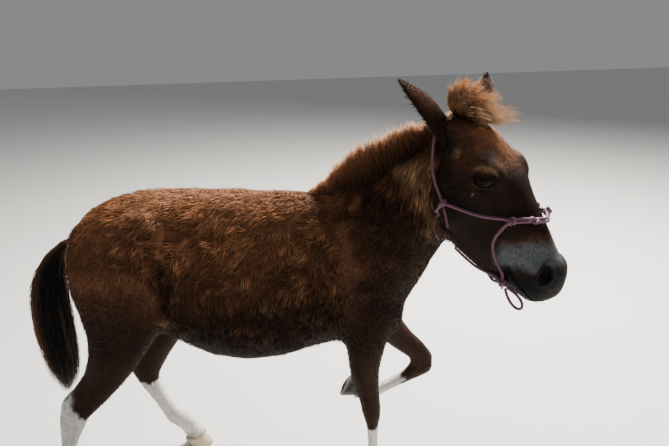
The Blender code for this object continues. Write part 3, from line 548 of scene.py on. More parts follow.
def onThighShare(points):
    b = bodyPlaces(points)
    front = np.interp(b[:, 2], (0.50, 0.60, 0.72, 0.80), (-0.42, -0.415, -0.450, -0.52))
    thigh = ease(b[:, 0], front + 0.01, front - 0.05) * ease(b[:, 2], 0.80, 0.70)
    shoulder = ease(b[:, 0], 0.0, 0.06) * (1 - ease(b[:, 2], 0.82, 0.90)) * (1 - onFaceShare(points))
    return np.maximum(thigh, shoulder * 0.85)


def onMuzzleShare(points):
    h = headPlaces(points)
    return ease(h[:, 0] - 0.25 * h[:, 2], 0.375, 0.430) * onHeadShare(points)


def painted(table, shares, order):
    # values for each point, one region laid over another
    value = np.full(len(shares["head"]), table["trunk"], float)
    for region in order:
        value += (table[region] - value) * shares[region]
    return value


def skinDepth(points):
    shares = {"neck": onNeckShare(points), "thigh": onThighShare(points), "leg": onLegShare(points),
              "head": onFaceShare(points), "muzzle": onMuzzleShare(points)}
    return painted(skinShape["depth"], shares, shares)


def relief(points):
    b, h = bodyPlaces(points), headPlaces(points)
    b[:, 1], h[:, 1] = np.abs(b[:, 1]), np.abs(h[:, 1])
    head = onHeadShare(points)
    rise = sum(blob(b, middle, reach) * height for middle, reach, height in bodyRelief) * (1 - head)
    return rise + sum(blob(h, middle, reach) * height for middle, reach, height in headRelief) * head


def placesOf(parts):
    return np.array([part.co for part in parts])


def chosen(parts, wanted):
    return [part for part, use in zip(parts, wanted) if use]


def refine(bm, wanted):
    # halves the edges where wanted says so
    middles = np.array([(edge.verts[0].co + edge.verts[1].co) / 2 for edge in bm.edges])
    bmesh.ops.subdivide_edges(bm, edges=chosen(bm.edges, wanted(middles)), cuts=1, use_grid_fill=True)


def soften(bm, verts):
    bmesh.ops.smooth_vert(bm, verts=verts, factor=0.5, use_axis_x=True, use_axis_y=True, use_axis_z=True)


# The eyelids. The opening is a lens across the ball; round it lie rings, each so far out from the lens's
# edge, so high over the ball, and folded so much.
lids = {
    "corner": (0.743, 0.0, 0.669), "out": (0.25, 1.0, 0.10), "half": 0.0230, "upper": 0.0128, "lower": 0.0116,
    "outer": (0.040, 0.033), "rim": 0.94, "sides": 84, "thickness": 0.0018,
    "rings": ((0.0, 0.0006, 0.0), (0.0012, 0.0018, 0.0), (0.0028, 0.0028, 0.0), (0.0046, 0.0032, 0.0005),
              (0.0064, 0.0030, 0.0), (0.0080, 0.0026, -0.0018), (0.0094, 0.0026, -0.0006),
              (0.0112, 0.0024, 0.0016), (0.0134, 0.002, 0.0010), (0.0156, 0.002, -0.0004)),
}


def eyeAxes(side):
    # in the head's axes: middle of the ball, then the ways to the inner corner, over the upper lid, and out
    out = unit(np.array(lids["out"]) * (1, side, 1))
    corner = np.array(lids["corner"])
    corner = unit(corner - out * (corner @ out))
    over = np.cross(out, corner) * (1 if np.cross(out, corner)[2] > 0 else -1)
    return np.array(pose["eye"]) * (1, side, 1), corner, over, out


def lensEdge(angles):
    rise = np.sin(angles)
    height = np.where(rise > 0, lids["upper"], lids["lower"])
    return np.stack([lids["half"] * np.cos(angles), height * rise * np.abs(rise) ** 0.25], 1)


def eyePlaces(points, side):
    # places of points along the corner, over and out axes of one eye
    middle, corner, over, out = eyeAxes(side)
    return (headPlaces(points) - middle) @ np.stack([corner, over, out]).T


def makeLids(bm, side):
    middle, corner, over, out = eyeAxes(side)
    tree = BVHTree.FromBMesh(bm)
    axes = np.stack([corner, over, out])

    def inWorld(places):
        return pollPlace + (middle + places @ axes) @ headRows

    def skinHeight(flat):
        start = inWorld(np.array([flat[0], flat[1], 0.09]))
        way = inWorld(np.array([flat[0], flat[1], 0.0])) - start
        hit = tree.ray_cast(Vector(start), Vector(way))[0]
        return 0.09 - (hit - Vector(start)).length

    middles = np.array([face.calc_center_median() for face in bm.faces])
    places = eyePlaces(middles, side)
    gone = ((places[:, :2] / lids["outer"]) ** 2).sum(1) < 1
    gone &= (places[:, 2] > -0.02) & (places[:, 2] < 0.05)
    angles = np.arange(lids["sides"]) / lids["sides"] * 2 * math.pi
    lens = lensEdge(angles)
    rim = np.stack([np.cos(angles), np.sin(angles)], 1) * np.array(lids["outer"]) * lids["rim"]
    away = unit(rim - lens)
    reach = np.linalg.norm(rim - lens, axis=1)
    under = np.sqrt(np.maximum((pose["eyeRadius"] - lids["thickness"]) ** 2 - (lens ** 2).sum(1) * 1.44, 0))
    rows = [np.column_stack([lens * 1.2, under])]
    for step, overBall, fold in lids["rings"]:
        flat = lens + away * np.minimum(step, reach * 0.9)[:, None]
        ball = np.sqrt(np.maximum((pose["eyeRadius"] + overBall) ** 2 - (flat ** 2).sum(1), 0.0055 ** 2))
        skinLevel = np.array([skinHeight(point) for point in flat])
        share = ease(np.full(len(flat), step), 0.0035, 0.0150)
        fold = fold * np.where(np.sin(angles) > 0, 1.0, 0.45) * np.clip(np.abs(np.sin(angles)) * 1.6, 0, 1)
        height = np.maximum(ball * (1 - share) + skinLevel * share, skinLevel * share) + fold
        clear = (pose["eyeRadius"] + 0.0008) ** 2 - (flat ** 2).sum(1)
        rows.append(np.column_stack([flat, np.maximum(height, np.sqrt(np.maximum(clear, 0)))]))
    rows.append(np.column_stack([rim, [skinHeight(point) for point in rim]]))
    bmesh.ops.delete(bm, geom=chosen(bm.faces, gone), context="FACES")
    rings = [[bm.verts.new(point) for point in inWorld(row)] for row in rows]
    for inner, outer in zip(rings, rings[1:]):
        for index in range(len(inner)):
            after = (index + 1) % len(inner)
            bm.faces.new((inner[index], inner[after], outer[after], outer[index]))
    ringVerts = {vert for ring in (rings[0], rings[-1]) for vert in ring}
    start = min((vert for vert in bm.verts if vert.is_boundary and vert not in ringVerts),
                key=lambda vert: (vert.co - rings[-1][0].co).length)
    stitch(bm, rings[-1], boundaryFrom(start), lambda verts: eyePlaces(placesOf(verts), side))


def boundaryFrom(start):
    # the open edge of a mesh as a ring of points in order
    ring, before = [start], None
    while True:
        steps = [edge.other_vert(ring[-1]) for edge in ring[-1].link_edges if edge.is_boundary]
        after = next(vert for vert in steps if vert is not before)
        if after is start:
            return ring
        before = ring[-1]
        ring.append(after)


def stitch(bm, inner, outer, seenFrom):
    # triangles between two rings of points, both going round the same way from the same side
    def turns(ring):
        flat = seenFrom(ring)
        angles = np.unwrap(np.arctan2(flat[:, 1], flat[:, 0]))
        return angles - angles[0]

    if turns(outer)[-1] < 0:
        outer = outer[:1] + outer[:0:-1]
    innerTurns, outerTurns = np.append(turns(inner), 2 * math.pi), np.append(turns(outer), 2 * math.pi)
    i = j = 0
    while i < len(inner) or j < len(outer):
        a, b = inner[i % len(inner)], outer[j % len(outer)]
        if j >= len(outer) or (i < len(inner) and innerTurns[i + 1] <= outerTurns[j + 1]):
            bm.faces.new((a, inner[(i + 1) % len(inner)], b))
            i += 1
        else:
            bm.faces.new((a, outer[(j + 1) % len(outer)], b))
            j += 1


# Nostrils and mouth, in the head's axes.
muzzle = {
    "nostril": (0.428, 0.036, -0.028), "nostrilLong": (-0.55, 0.84), "nostrilHalf": (0.0120, 0.0205),
    "nostrilDepth": 0.017, "nostrilRim": 0.0022, "nostrilWay": (-0.45, -0.86, 0.20),
    "lipLine": ((0.372, -0.101), (0.400, -0.100), (0.430, -0.098), (0.460, -0.096), (0.490, -0.095)),
    "lipDepth": 0.0045, "lipWidth": 0.0026,
    "chinFold": (0.418, -0.128, 0.010, 0.0035),
}


def nostrilPlaces(h):
    # across and along the nostril, in half widths, both sides alike
    along = unit(np.array(muzzle["nostrilLong"]))
    away = np.stack([h[:, 0] - muzzle["nostril"][0], h[:, 2] - muzzle["nostril"][2]], 1)
    y = away @ along / muzzle["nostrilHalf"][1]
    x = away @ np.array([along[1], -along[0]]) / muzzle["nostrilHalf"][0]
    return x + 0.35 * (y ** 2 - 0.3), y  # bent like a comma


def lipPlace(h):
    # height over the line between the lips, and 1 along its length
    line = np.array(muzzle["lipLine"])
    start = line[0, 0]
    return h[:, 2] - np.interp(h[:, 0], line[:, 0], line[:, 1]), ease(h[:, 0], start - 0.006, start + 0.004)


def shapeMuzzle(places, normals):
    h = headPlaces(places)
    x, y = nostrilPlaces(h)
    far = np.hypot(x, y)
    side = (np.abs(h[:, 1]) > 0.012) & (h[:, 0] > 0.37)
    hollow = (1 - ease(far, 0.60, 1.05)) * side
    rim = np.exp(-((far - 1.25) / 0.22) ** 2) * side
    over, along = lipPlace(h)
    lip = np.exp(-(over / muzzle["lipWidth"]) ** 2) * along
    rolls = np.exp(-((over - 0.008) / 0.005) ** 2) + np.exp(-((over + 0.007) / 0.004) ** 2)
    lipRoll = rolls * along * 0.0012
    a, u, reach, depth = muzzle["chinFold"]
    chin = np.exp(-(((h[:, 0] - a) / reach) ** 2 + ((h[:, 2] - u) / 0.008) ** 2)) * depth
    push = rim * muzzle["nostrilRim"] + lipRoll - lip * muzzle["lipDepth"] - chin
    push += wander(h, 0.014, 41) * 0.0003 * ease(h[:, 0] - 0.3 * h[:, 2], 0.40, 0.46)
    sides = np.stack([np.ones(len(h)), np.sign(h[:, 1]), np.ones(len(h))], 1)
    inward = muzzle["nostrilWay"] * sides @ headRows * (hollow * muzzle["nostrilDepth"])[:, None]
    return places + (normals * push[:, None] + inward) * onHeadShare(places)[:, None]


def fineRegion(places):
    # where the skin is refined twice: muzzle and round the eyes
    h = headPlaces(places)
    h[:, 1] = np.abs(h[:, 1])
    nearEye = np.linalg.norm((h - pose["eye"]) / (0.045, 0.04, 0.040), axis=1) < 1
    return (onHeadShare(places) > 0.9) & ((h[:, 0] - 0.2 * h[:, 2] > 0.375) | nearEye)


def displace(mesh, wanted):
    mesh.vertices.foreach_set("co", wanted.astype(np.float32).ravel())
    mesh.update()


def makeSkin():
    skin = addPiece("skin", joined(flesh))
    remesh = skin.modifiers.new("fuse", "REMESH")
    remesh.mode = "VOXEL"
    remesh.voxel_size = skinShape["grain"]
    smooth = skin.modifiers.new("soften", "SMOOTH")
    smooth.factor = 0.5
    smooth.iterations = skinShape["smoothing"]
    bpy.context.view_layer.update()
    mesh = meshOf(skin)
    skin.modifiers.clear()
    skin.data = mesh
    bm = bmesh.new()
    bm.from_mesh(mesh)
    for region in (onHeadShare, fineRegion):
        refine(bm, lambda places: region(places) > 0.5)
        soften(bm, chosen(bm.verts, onHeadShare(placesOf(bm.verts)) > 0.3))
    share = onHeadShare(placesOf(bm.verts))
    seam = chosen(bm.verts, (share > 0.01) & (share < 0.99))
    for _ in range(skinShape["seamSmoothing"]):
        soften(bm, seam)
    bm.to_mesh(mesh)
    bm.free()
    places, normals = coordinates(mesh), normalsOf(mesh)
    displace(mesh, places + normals * (relief(places) - skinDepth(places))[:, None])
    displace(mesh, shapeMuzzle(coordinates(mesh), normalsOf(mesh)))
    bm = bmesh.new()
    bm.from_mesh(mesh)
    for side in (-1, 1):
        makeLids(bm, side)
    bmesh.ops.recalc_face_normals(bm, faces=bm.faces)
    bm.to_mesh(mesh)
    bm.free()
    mesh.shade_smooth()
    unwrap(skin)
    return skin


def unwrap(piece):
    piece.data.uv_layers.new(name="OFBake")
    bpy.context.view_layer.objects.active = piece
    piece.select_set(True)
    bpy.ops.object.mode_set(mode="EDIT")
    bpy.ops.mesh.select_all(action="SELECT")
    bpy.ops.uv.smart_project(angle_limit=math.radians(66), island_margin=0.002)
    bpy.ops.object.mode_set(mode="OBJECT")
    piece.select_set(False)


skin = makeSkin()
print("skin", len(skin.data.polygons))

# The colours of skin and coat. Each mark is a colour, its share, its middle and its reach, both sides alike
# where the middle's second number isn't negative. Body marks stand in the body's places, head marks in the
# head's.
palette = {
    "sunlitRust": (0.60, 0.285, 0.145), "chestnut": (0.47, 0.190, 0.080), "brown": (0.215, 0.089, 0.041),
    "chocolate": (0.062, 0.025, 0.012), "dark": (0.021, 0.0092, 0.0050), "black": (0.006, 0.005, 0.005),
    "tan": (0.52, 0.30, 0.15), "pale": (0.62, 0.50, 0.36), "white": (0.80, 0.77, 0.71),
    "grey": (0.118, 0.126, 0.130), "silver": (0.26, 0.20, 0.165),
}
bodyMarks = (
    # The chestnut and rust marks high on the back and croup are partly the coat's own red and partly painted
    # light on the top of the body.
    ("brown", 1.0, (-0.28, 0.15, 0.80), (0.52, 0.26, 0.22)),
    ("chestnut", 0.75, (-0.26, 0.12, 0.84), (0.34, 0.24, 0.13)),
    ("chestnut", 0.95, (-0.40, 0.00, 0.95), (0.44, 0.24, 0.11)),
    ("chestnut", 0.80, (-0.61, 0.06, 0.85), (0.10, 0.20, 0.10)),
    # The chocolate and dark marks low on the barrel, belly and thigh are partly the coat's own dark and
    # partly painted shade under the body.
    ("chocolate", 0.9, (-0.10, 0.17, 0.58), (0.40, 0.20, 0.09)),
    ("dark", 0.9, (-0.22, 0.00, 0.45), (0.42, 0.30, 0.10)),
    ("dark", 0.6, (-0.18, 0.14, 0.535), (0.50, 0.16, 0.075)),
    ("brown", 0.8, (-0.60, 0.10, 0.76), (0.12, 0.16, 0.10)),
    ("chocolate", 0.9, (-0.58, 0.14, 0.62), (0.15, 0.14, 0.10)),
    ("dark", 0.7, (-0.60, 0.14, 0.54), (0.14, 0.14, 0.10)),
    # painted shade in the fold in front of the haunch
    ("dark", 0.85, (-0.435, 0.15, 0.70), (0.026, 0.08, 0.10)),
    ("dark", 0.9, (-0.418, 0.16, 0.770), (0.024, 0.06, 0.035)),
    ("tan", 0.15, (-0.440, 0.16, 0.806), (0.030, 0.05, 0.014)),
    ("dark", 0.85, (0.15, 0.06, 0.62), (0.11, 0.16, 0.13)),
    ("brown", 0.6, (0.03, 0.15, 0.78), (0.09, 0.08, 0.12)),
    ("tan", 0.5, (-0.725, 0.05, 0.72), (0.022, 0.05, 0.11)),
    ("pale", 0.8, (-0.702, 0.035, 0.790), (0.016, 0.025, 0.022)),
    ("tan", 0.45, (-0.450, 0.15, 0.590), (0.035, 0.05, 0.010)),
    ("pale", 0.55, (-0.029, -0.09, 0.885), (0.018, 0.03, 0.014)),
    ("dark", 0.8, (-0.222, -0.15, 0.868), (0.010, 0.03, 0.009)),
    ("dark", 0.75, (0.12, 0.10, 0.84), (0.09, 0.12, 0.16)),
    ("dark", 0.80, (0.23, 0.12, 0.80), (0.11, 0.14, 0.13)),
    ("brown", 0.9, (0.20, 0.14, 0.99), (0.14, 0.10, 0.085)),
    ("tan", 0.80, (0.18, 0.13, 1.000), (0.12, 0.06, 0.036)),
    ("tan", 0.48, (0.225, 0.17, 0.985), (0.040, 0.09, 0.085)),
    ("tan", 0.35, (0.262, 0.18, 0.885), (0.026, 0.09, 0.080)),
    ("chestnut", 0.5, (0.02, 0.06, 0.90), (0.09, 0.09, 0.035)),
    # rust over the top of the back: the coat's red, lightened as painted light
    ("sunlitRust", 0.70, (-0.42, 0.00, 0.96), (0.42, 0.19, 0.085)),
)
headMarks = (
    ("chocolate", 1.0, (0.07, 0.05, 0.00), (0.14, 0.12, 0.10)),
    # the dark and black cheek marks are partly the face's own dark and partly painted shade on the side of
    # the head
    ("dark", 1.0, (0.16, 0.09, -0.11), (0.16, 0.06, 0.09)),
    ("black", 0.45, (0.19, 0.09, -0.10), (0.12, 0.06, 0.07)),
    ("brown", 0.85, (0.085, 0.02, 0.055), (0.105, 0.072, 0.055)),
    ("chestnut", 0.40, (0.075, 0.02, 0.062), (0.070, 0.045, 0.035)),
    # painted shadow of the ears on the head, round their bases behind the rope
    ("black", 0.90, (0.048, 0.085, -0.026), (0.030, 0.05, 0.036)),
    ("black", 0.70, (0.085, 0.095, -0.066), (0.034, 0.05, 0.040)),
    # silver over the eye is partly grizzled hair and partly painted sheen
    ("silver", 0.40, (0.125, 0.062, 0.038), (0.036, 0.024, 0.024)),
    ("tan", 0.17, (0.080, 0.085, -0.022), (0.012, 0.030, 0.020)),
    ("dark", 0.8, (0.260, 0.02, 0.040), (0.090, 0.035, 0.035)),
    ("pale", 0.55, (0.181, -0.085, -0.040), (0.004, 0.02, 0.003)),
)
markings = {
    "wobble": 0.016, "wobbleSize": 0.060, "edge": (0.45, 1.15),
    # places along the body and heights of the top of each stocking
    "hindRight": ((-0.83, -0.765, -0.735, -0.70), (0.350, 0.350, 0.290, 0.245)),
    "hindLeft": ((-0.66, -0.56), (0.262, 0.275)), "foreRight": 0.198, "foreLeft": 0.222,
    "stockingWave": 0.010, "stockingEdge": 0.004,
    # dark spots in the stockings, and a white one over them
    "spots": (((-0.802, -0.092, 0.280), (0.012, 0.05, 0.016)),
              ((-0.618, 0.092, 0.246), (0.012, 0.05, 0.010))),
    "whiteSpot": ((-0.752, -0.115, 0.345), (0.010, 0.03, 0.018)),
    # colours of the muzzle in bands, from their middle along their way
    "muzzleBands": (-0.075, -0.056, -0.042, -0.016, 0.018, 0.038, 0.052),
    "muzzleTints": ("dark", "dark", "chocolate", "grey", "grey", "dark", "black"),
    "muzzleReach": (-0.098, -0.066), "muzzleMiddle": (0.372, -0.033), "muzzleWay": (0.88, -0.475),
}


def tintOf(name):
    return np.array(palette[name])


def wobbled(places, seed):
    shift = np.stack([wander(places, markings["wobbleSize"], seed + axis) for axis in range(3)], 1)
    fine = np.stack([wander(places, markings["wobbleSize"] * 0.3, seed + 3 + axis) for axis in range(3)], 1)
    return places + shift * markings["wobble"] + fine * markings["wobble"] * 0.35


def markedWith(colours, places, marks):
    for name, share, middle, reach in marks:
        sided = places if middle[1] < 0 else bothSides(places)
        far = np.linalg.norm((sided - np.array(middle)) / np.array(reach), axis=1)
        cover = (1 - ease(far, *markings["edge"])) * share
        colours += (tintOf(name) - colours) * cover[:, None]
    return colours


def stockings(points):
    # 1 where the legs are white
    b = bodyPlaces(points)
    wave = wander(b, 0.030, 61) * markings["stockingWave"]
    z, x, edge = b[:, 2] + wave, b[:, 0], markings["stockingEdge"]

    def below(value, top):
        return 1 - ease(value, top - edge, top + edge)

    right, front = b[:, 1] < 0, x > -0.2
    top = np.where(right, np.interp(x, *markings["hindRight"]), np.interp(x, *markings["hindLeft"]))
    hind = below(z, top) * (x < -0.30)
    fore = below(z, markings["foreRight"]) * front * right
    raised = below(x + wave, markings["foreLeft"]) * ~right * front * (1 - ease(z, 0.272, 0.282))
    spots = sum(blob(b, *spot) for spot in markings["spots"])
    white = np.clip(hind + fore + raised, 0, 1) * (1 - np.clip(spots * 1.5, 0, 1))
    return np.clip(white + blob(b, *markings["whiteSpot"]) * 0.8, 0, 1)


def coatColour(points):
    b, h = wobbled(bodyPlaces(points), 20), wobbled(headPlaces(points), 40) * 0.5 + headPlaces(points) * 0.5
    colours = np.tile(tintOf("chocolate"), (len(points), 1))
    legs = ease(b[:, 2], 0.60, 0.48)[:, None]
    colours += (tintOf("dark") * 1.7 - colours) * legs
    colours = markedWith(colours, b, bodyMarks)
    # the face's dark base is partly its own colour and partly painted shade on the side of the head
    head = np.tile(tintOf("dark") * 0.8, (len(points), 1))
    head = markedWith(head, h, headMarks)
    own = headPlaces(points)
    for side in (-1, 1):
        x, y, _ = eyePlaces(points, side).T
        arc = np.exp(-((y - 0.0265 + x * x * 12) / 0.0046) ** 2) * (1 - ease(np.abs(x), 0.018, 0.034))
        low = np.exp(-((y + 0.022 - x * x * 8) / 0.0035) ** 2) * (np.abs(x) < 0.024) * 0.10
        near = np.abs(own[:, 1] - side * 0.08) < 0.040
        head += (tintOf("tan") - head) * (np.clip(arc * 0.5 + low * 0.7, 0, 1) * near)[:, None]
        far = np.hypot((x - 0.004) / (lids["half"] + 0.0095), y / (lids["upper"] + 0.0052))
        head += (tintOf("black") - head) * ((1 - ease(far, 0.85, 1.15)) * near)[:, None]
    a, _, u = h.T
    way = np.array(markings["muzzleWay"])
    away = np.stack([a, u], 1) - markings["muzzleMiddle"]
    w, cross = away @ way, away @ (-way[1], way[0])
    banded = between(w, markings["muzzleBands"], [tintOf(name) for name in markings["muzzleTints"]])
    banded += (tintOf("dark") - banded) * ((1 - ease(cross, *markings["muzzleReach"])) * (w < 0.03))[:, None]
    front = ease(w, -0.066, -0.050) * ease(a, 0.29, 0.32)
    head += (banded - head) * front[:, None]
    dark = (1 - ease(np.hypot(*nostrilPlaces(own)), 1.15, 2.0)) * (own[:, 0] > 0.37)
    over, _ = lipPlace(own)
    dark = np.maximum(dark, (1 - ease(over, 0.004, 0.016)) * ease(own[:, 0], 0.352, 0.376))
    head += (tintOf("black") - head) * dark[:, None]
    colours += (head - colours) * onFaceShare(points)[:, None]
    colours += (tintOf("white") - colours) * stockings(points)[:, None]
    shade = 1 + 0.16 * wander(b, 0.022, 71) + 0.10 * wander(b, 0.009, 72)
    return np.clip(colours * shade[:, None], 0.004, 0.9)


def makeHairPaint(name, roughness, specular, grain, ends, relief):
    # fine hairs: streaks that run along the hair, in its colour and its bump
    paint, tree, shader = principled(name, roughness, Specular_IOR_Level=specular)
    place = addNode(tree, "Mapping", {"Vector": stored(tree, "hairPlace", "Vector"), "Scale": grain})
    noise = noiseOver(tree, place, 1.0)
    tint = shaded(tree, stored(tree, "coatColour", "Color"), spreadOver(tree, noise, *ends))
    feed(tree, shader, {"Base Color": tint, "Normal": raised(tree, noise, *relief)})
    return paint


def makeCoatPaint(name, strand, roughness=0.55):
    grain = (1 / strand, 1 / strand, 1 / (strand * 40))
    return makeHairPaint(name, roughness, 0.10, grain, ((0.3, 0.7), (0.62, 1.38)), (0.5, strand * 0.6))


# Which way the coat lies: a place, and the way there, both sides alike.
bodyLie = (
    ((0.02, 0.03, 0.91), (-0.80, 0.25, -0.45)), ((-0.30, 0.03, 0.93), (-0.85, 0.25, -0.30)),
    ((-0.30, 0.12, 0.88), (-0.70, 0.20, -0.60)), ((-0.55, 0.06, 0.91), (-0.85, 0.20, -0.35)),
    ((-0.66, 0.08, 0.84), (-0.60, 0.10, -0.80)), ((-0.71, 0.05, 0.72), (-0.20, 0.05, -0.97)),
    ((-0.15, 0.17, 0.75), (-0.62, 0.00, -0.78)), ((-0.30, 0.17, 0.72), (-0.66, 0.00, -0.74)),
    ((-0.15, 0.15, 0.52), (-0.40, -0.20, -0.88)), ((-0.30, 0.15, 0.52), (-0.45, -0.20, -0.85)),
    ((-0.20, 0.03, 0.42), (-0.90, 0.00, -0.15)), ((-0.40, 0.16, 0.80), (-0.80, 0.00, -0.60)),
    ((-0.45, 0.15, 0.68), (-0.30, 0.00, -0.95)), ((-0.43, 0.15, 0.60), (0.20, 0.00, -0.98)),
    ((-0.55, 0.15, 0.80), (-0.55, 0.05, -0.83)), ((-0.58, 0.15, 0.66), (-0.22, 0.00, -0.97)),
    ((-0.62, 0.12, 0.50), (-0.45, 0.00, -0.89)), ((-0.70, 0.12, 0.38), (-0.65, 0.00, -0.76)),
    ((-0.78, 0.10, 0.25), (-0.10, 0.00, -0.99)), ((-0.80, 0.10, 0.10), (0.05, 0.00, -1.00)),
    ((0.06, 0.14, 0.74), (-0.35, 0.05, -0.93)), ((0.10, 0.13, 0.60), (-0.10, 0.00, -1.00)),
    ((0.10, 0.11, 0.45), (-0.12, 0.00, -0.99)), ((0.11, 0.10, 0.25), (0.00, 0.00, -1.00)),
    ((0.20, 0.02, 0.62), (-0.10, 0.10, -0.99)), ((0.17, 0.05, 0.50), (-0.20, 0.00, -0.98)),
    ((0.10, 0.08, 0.93), (-0.60, 0.25, -0.75)), ((0.20, 0.12, 1.00), (-0.22, 0.12, -0.97)),
    ((0.28, 0.14, 1.03), (-0.15, 0.10, -0.98)), ((0.15, 0.13, 0.85), (-0.25, 0.05, -0.96)),
    ((0.26, 0.16, 0.90), (-0.05, 0.00, -1.00)), ((0.27, 0.10, 0.72), (-0.35, 0.00, -0.93)),
)
# The left legs, which stand apart from their fellows.
leftLie = (
    ((-0.58, -0.092, 0.40), (0.10, 0.00, -0.99)), ((-0.61, -0.092, 0.30), (0.00, 0.00, -1.00)),
    ((-0.57, -0.100, 0.20), (0.35, 0.00, -0.93)), ((-0.51, -0.110, 0.09), (0.45, 0.00, -0.89)),
    ((0.15, -0.086, 0.45), (0.35, 0.00, -0.93)), ((0.26, -0.090, 0.36), (0.45, 0.00, -0.89)),
    ((0.28, -0.090, 0.29), (-0.35, 0.00, -0.93)), ((0.20, -0.090, 0.24), (-0.95, 0.00, -0.30)),
    ((0.12, -0.090, 0.20), (-0.95, 0.00, 0.00)),
)
headLie = (
    ((0.10, 0.00, 0.06), (0.30, 0.60, 0.00)), ((0.03, 0.03, 0.03), (-0.90, 0.30, 0.10)),
    ((0.06, 0.03, 0.05), (-0.60, 0.60, 0.10)), ((0.15, 0.02, 0.05), (0.90, 0.25, 0.00)),
    ((0.25, 0.01, 0.04), (0.98, 0.15, -0.10)), ((0.36, 0.01, 0.02), (0.98, 0.15, -0.20)),
    ((0.12, 0.07, 0.03), (-0.45, 0.50, -0.70)), ((0.16, 0.08, 0.03), (0.30, 0.50, 0.50)),
    ((0.08, 0.08, -0.03), (-0.70, 0.10, -0.70)), ((0.13, 0.09, -0.03), (-0.50, 0.20, -0.85)),
    ((0.20, 0.08, -0.03), (0.50, 0.20, -0.80)), ((0.16, 0.09, -0.10), (-0.15, 0.00, -0.98)),
    ((0.07, 0.08, -0.12), (-0.45, 0.00, -0.89)), ((0.12, 0.05, -0.20), (-0.35, -0.30, -0.88)),
    ((0.25, 0.06, -0.08), (0.45, 0.00, -0.88)), ((0.25, 0.04, -0.19), (0.30, -0.20, -0.93)),
    ((0.34, 0.05, -0.06), (0.65, 0.00, -0.75)), ((0.42, 0.04, -0.06), (0.60, 0.00, -0.80)),
    ((0.44, 0.02, -0.12), (0.70, 0.10, -0.60)),
)


def bothSides(places):
    return places * (1, 0, 1) + np.abs(places[:, 1:2]) * (0, 1, 0)


def guided(places, table, used):
    # the way of the nearest guides, weighted by nearness
    ways = np.zeros((len(places), 3))
    sides = np.sign(places[:, 1]) * np.clip(np.abs(places[:, 1]) / 0.02, 0, 1)
    turns = np.stack([np.ones(len(places)), sides, np.ones(len(places))], 1)
    for middle, way in table:
        weight = 1 / (((used - np.array(middle)) ** 2).sum(1) + 0.0006) ** 2
        ways += unit(np.array(way))[None] * turns * weight[:, None]
    return unit(ways)


def lieOf(points, normals):
    b, h = bodyPlaces(points), headPlaces(points)
    keep = (ease(b[:, 2], 0.50, 0.42) * (b[:, 1] > 0))[:, None]
    ways = guided(b, bodyLie, bothSides(b)) * (1 - keep) + guided(b, leftLie, b * (1, -1, 1)) * keep
    share = onFaceShare(points)[:, None]
    return flattened(unit(ways) * (1 - share) + guided(h, headLie, bothSides(h)) @ headRows * share, normals)


# Hooves: sole's middle, way to the toe and up from the sole; horn colour for each.
hooves = {
    "places": {"fore_right": ((0.152, -0.090, 0.0), (1, 0, 0), (0, 0, 1)),
               "fore_left": ((0.040, 0.090, 0.227), (-0.564, 0, -0.826), (0.826, 0, -0.564)),
               "hind_right": ((-0.772, -0.092, 0.0), (1, 0, 0), (0, 0, 1)),
               "hind_left": ((-0.455, 0.116, 0.0), (1, 0, 0), (0, 0, 1))},
    "horn": {"fore_right": (0.070, 0.058, 0.046), "fore_left": (0.050, 0.042, 0.036),
             "hind_right": (0.10, 0.082, 0.064), "hind_left": (0.50, 0.42, 0.28)},
    "height": 0.046, "rings": 0.0042, "wall": 0.006, "dish": 0.0035, "coronet": 0.007, "soleEdge": 0.0012,
    "frog": {"radius1": 0.014, "radius2": 0.010, "depth": 0.005}, "frogShape": (1.35, 0.75, 1),
    "frogPlace": (-0.018, 0, 0.0028),
}


def hoofAxes(name):
    sole, toe, up = (Vector(value) for value in hooves["places"][name])
    toe, up = toe.normalized(), up.normalized()
    return Matrix.Translation(onBody(*sole)) @ Matrix((toe, up.cross(toe), up)).transposed().to_4x4()


def hoofPlaces(points, name):
    inverse = np.array(hoofAxes(name).inverted())
    return points @ inverse[:3, :3].T + inverse[:3, 3]


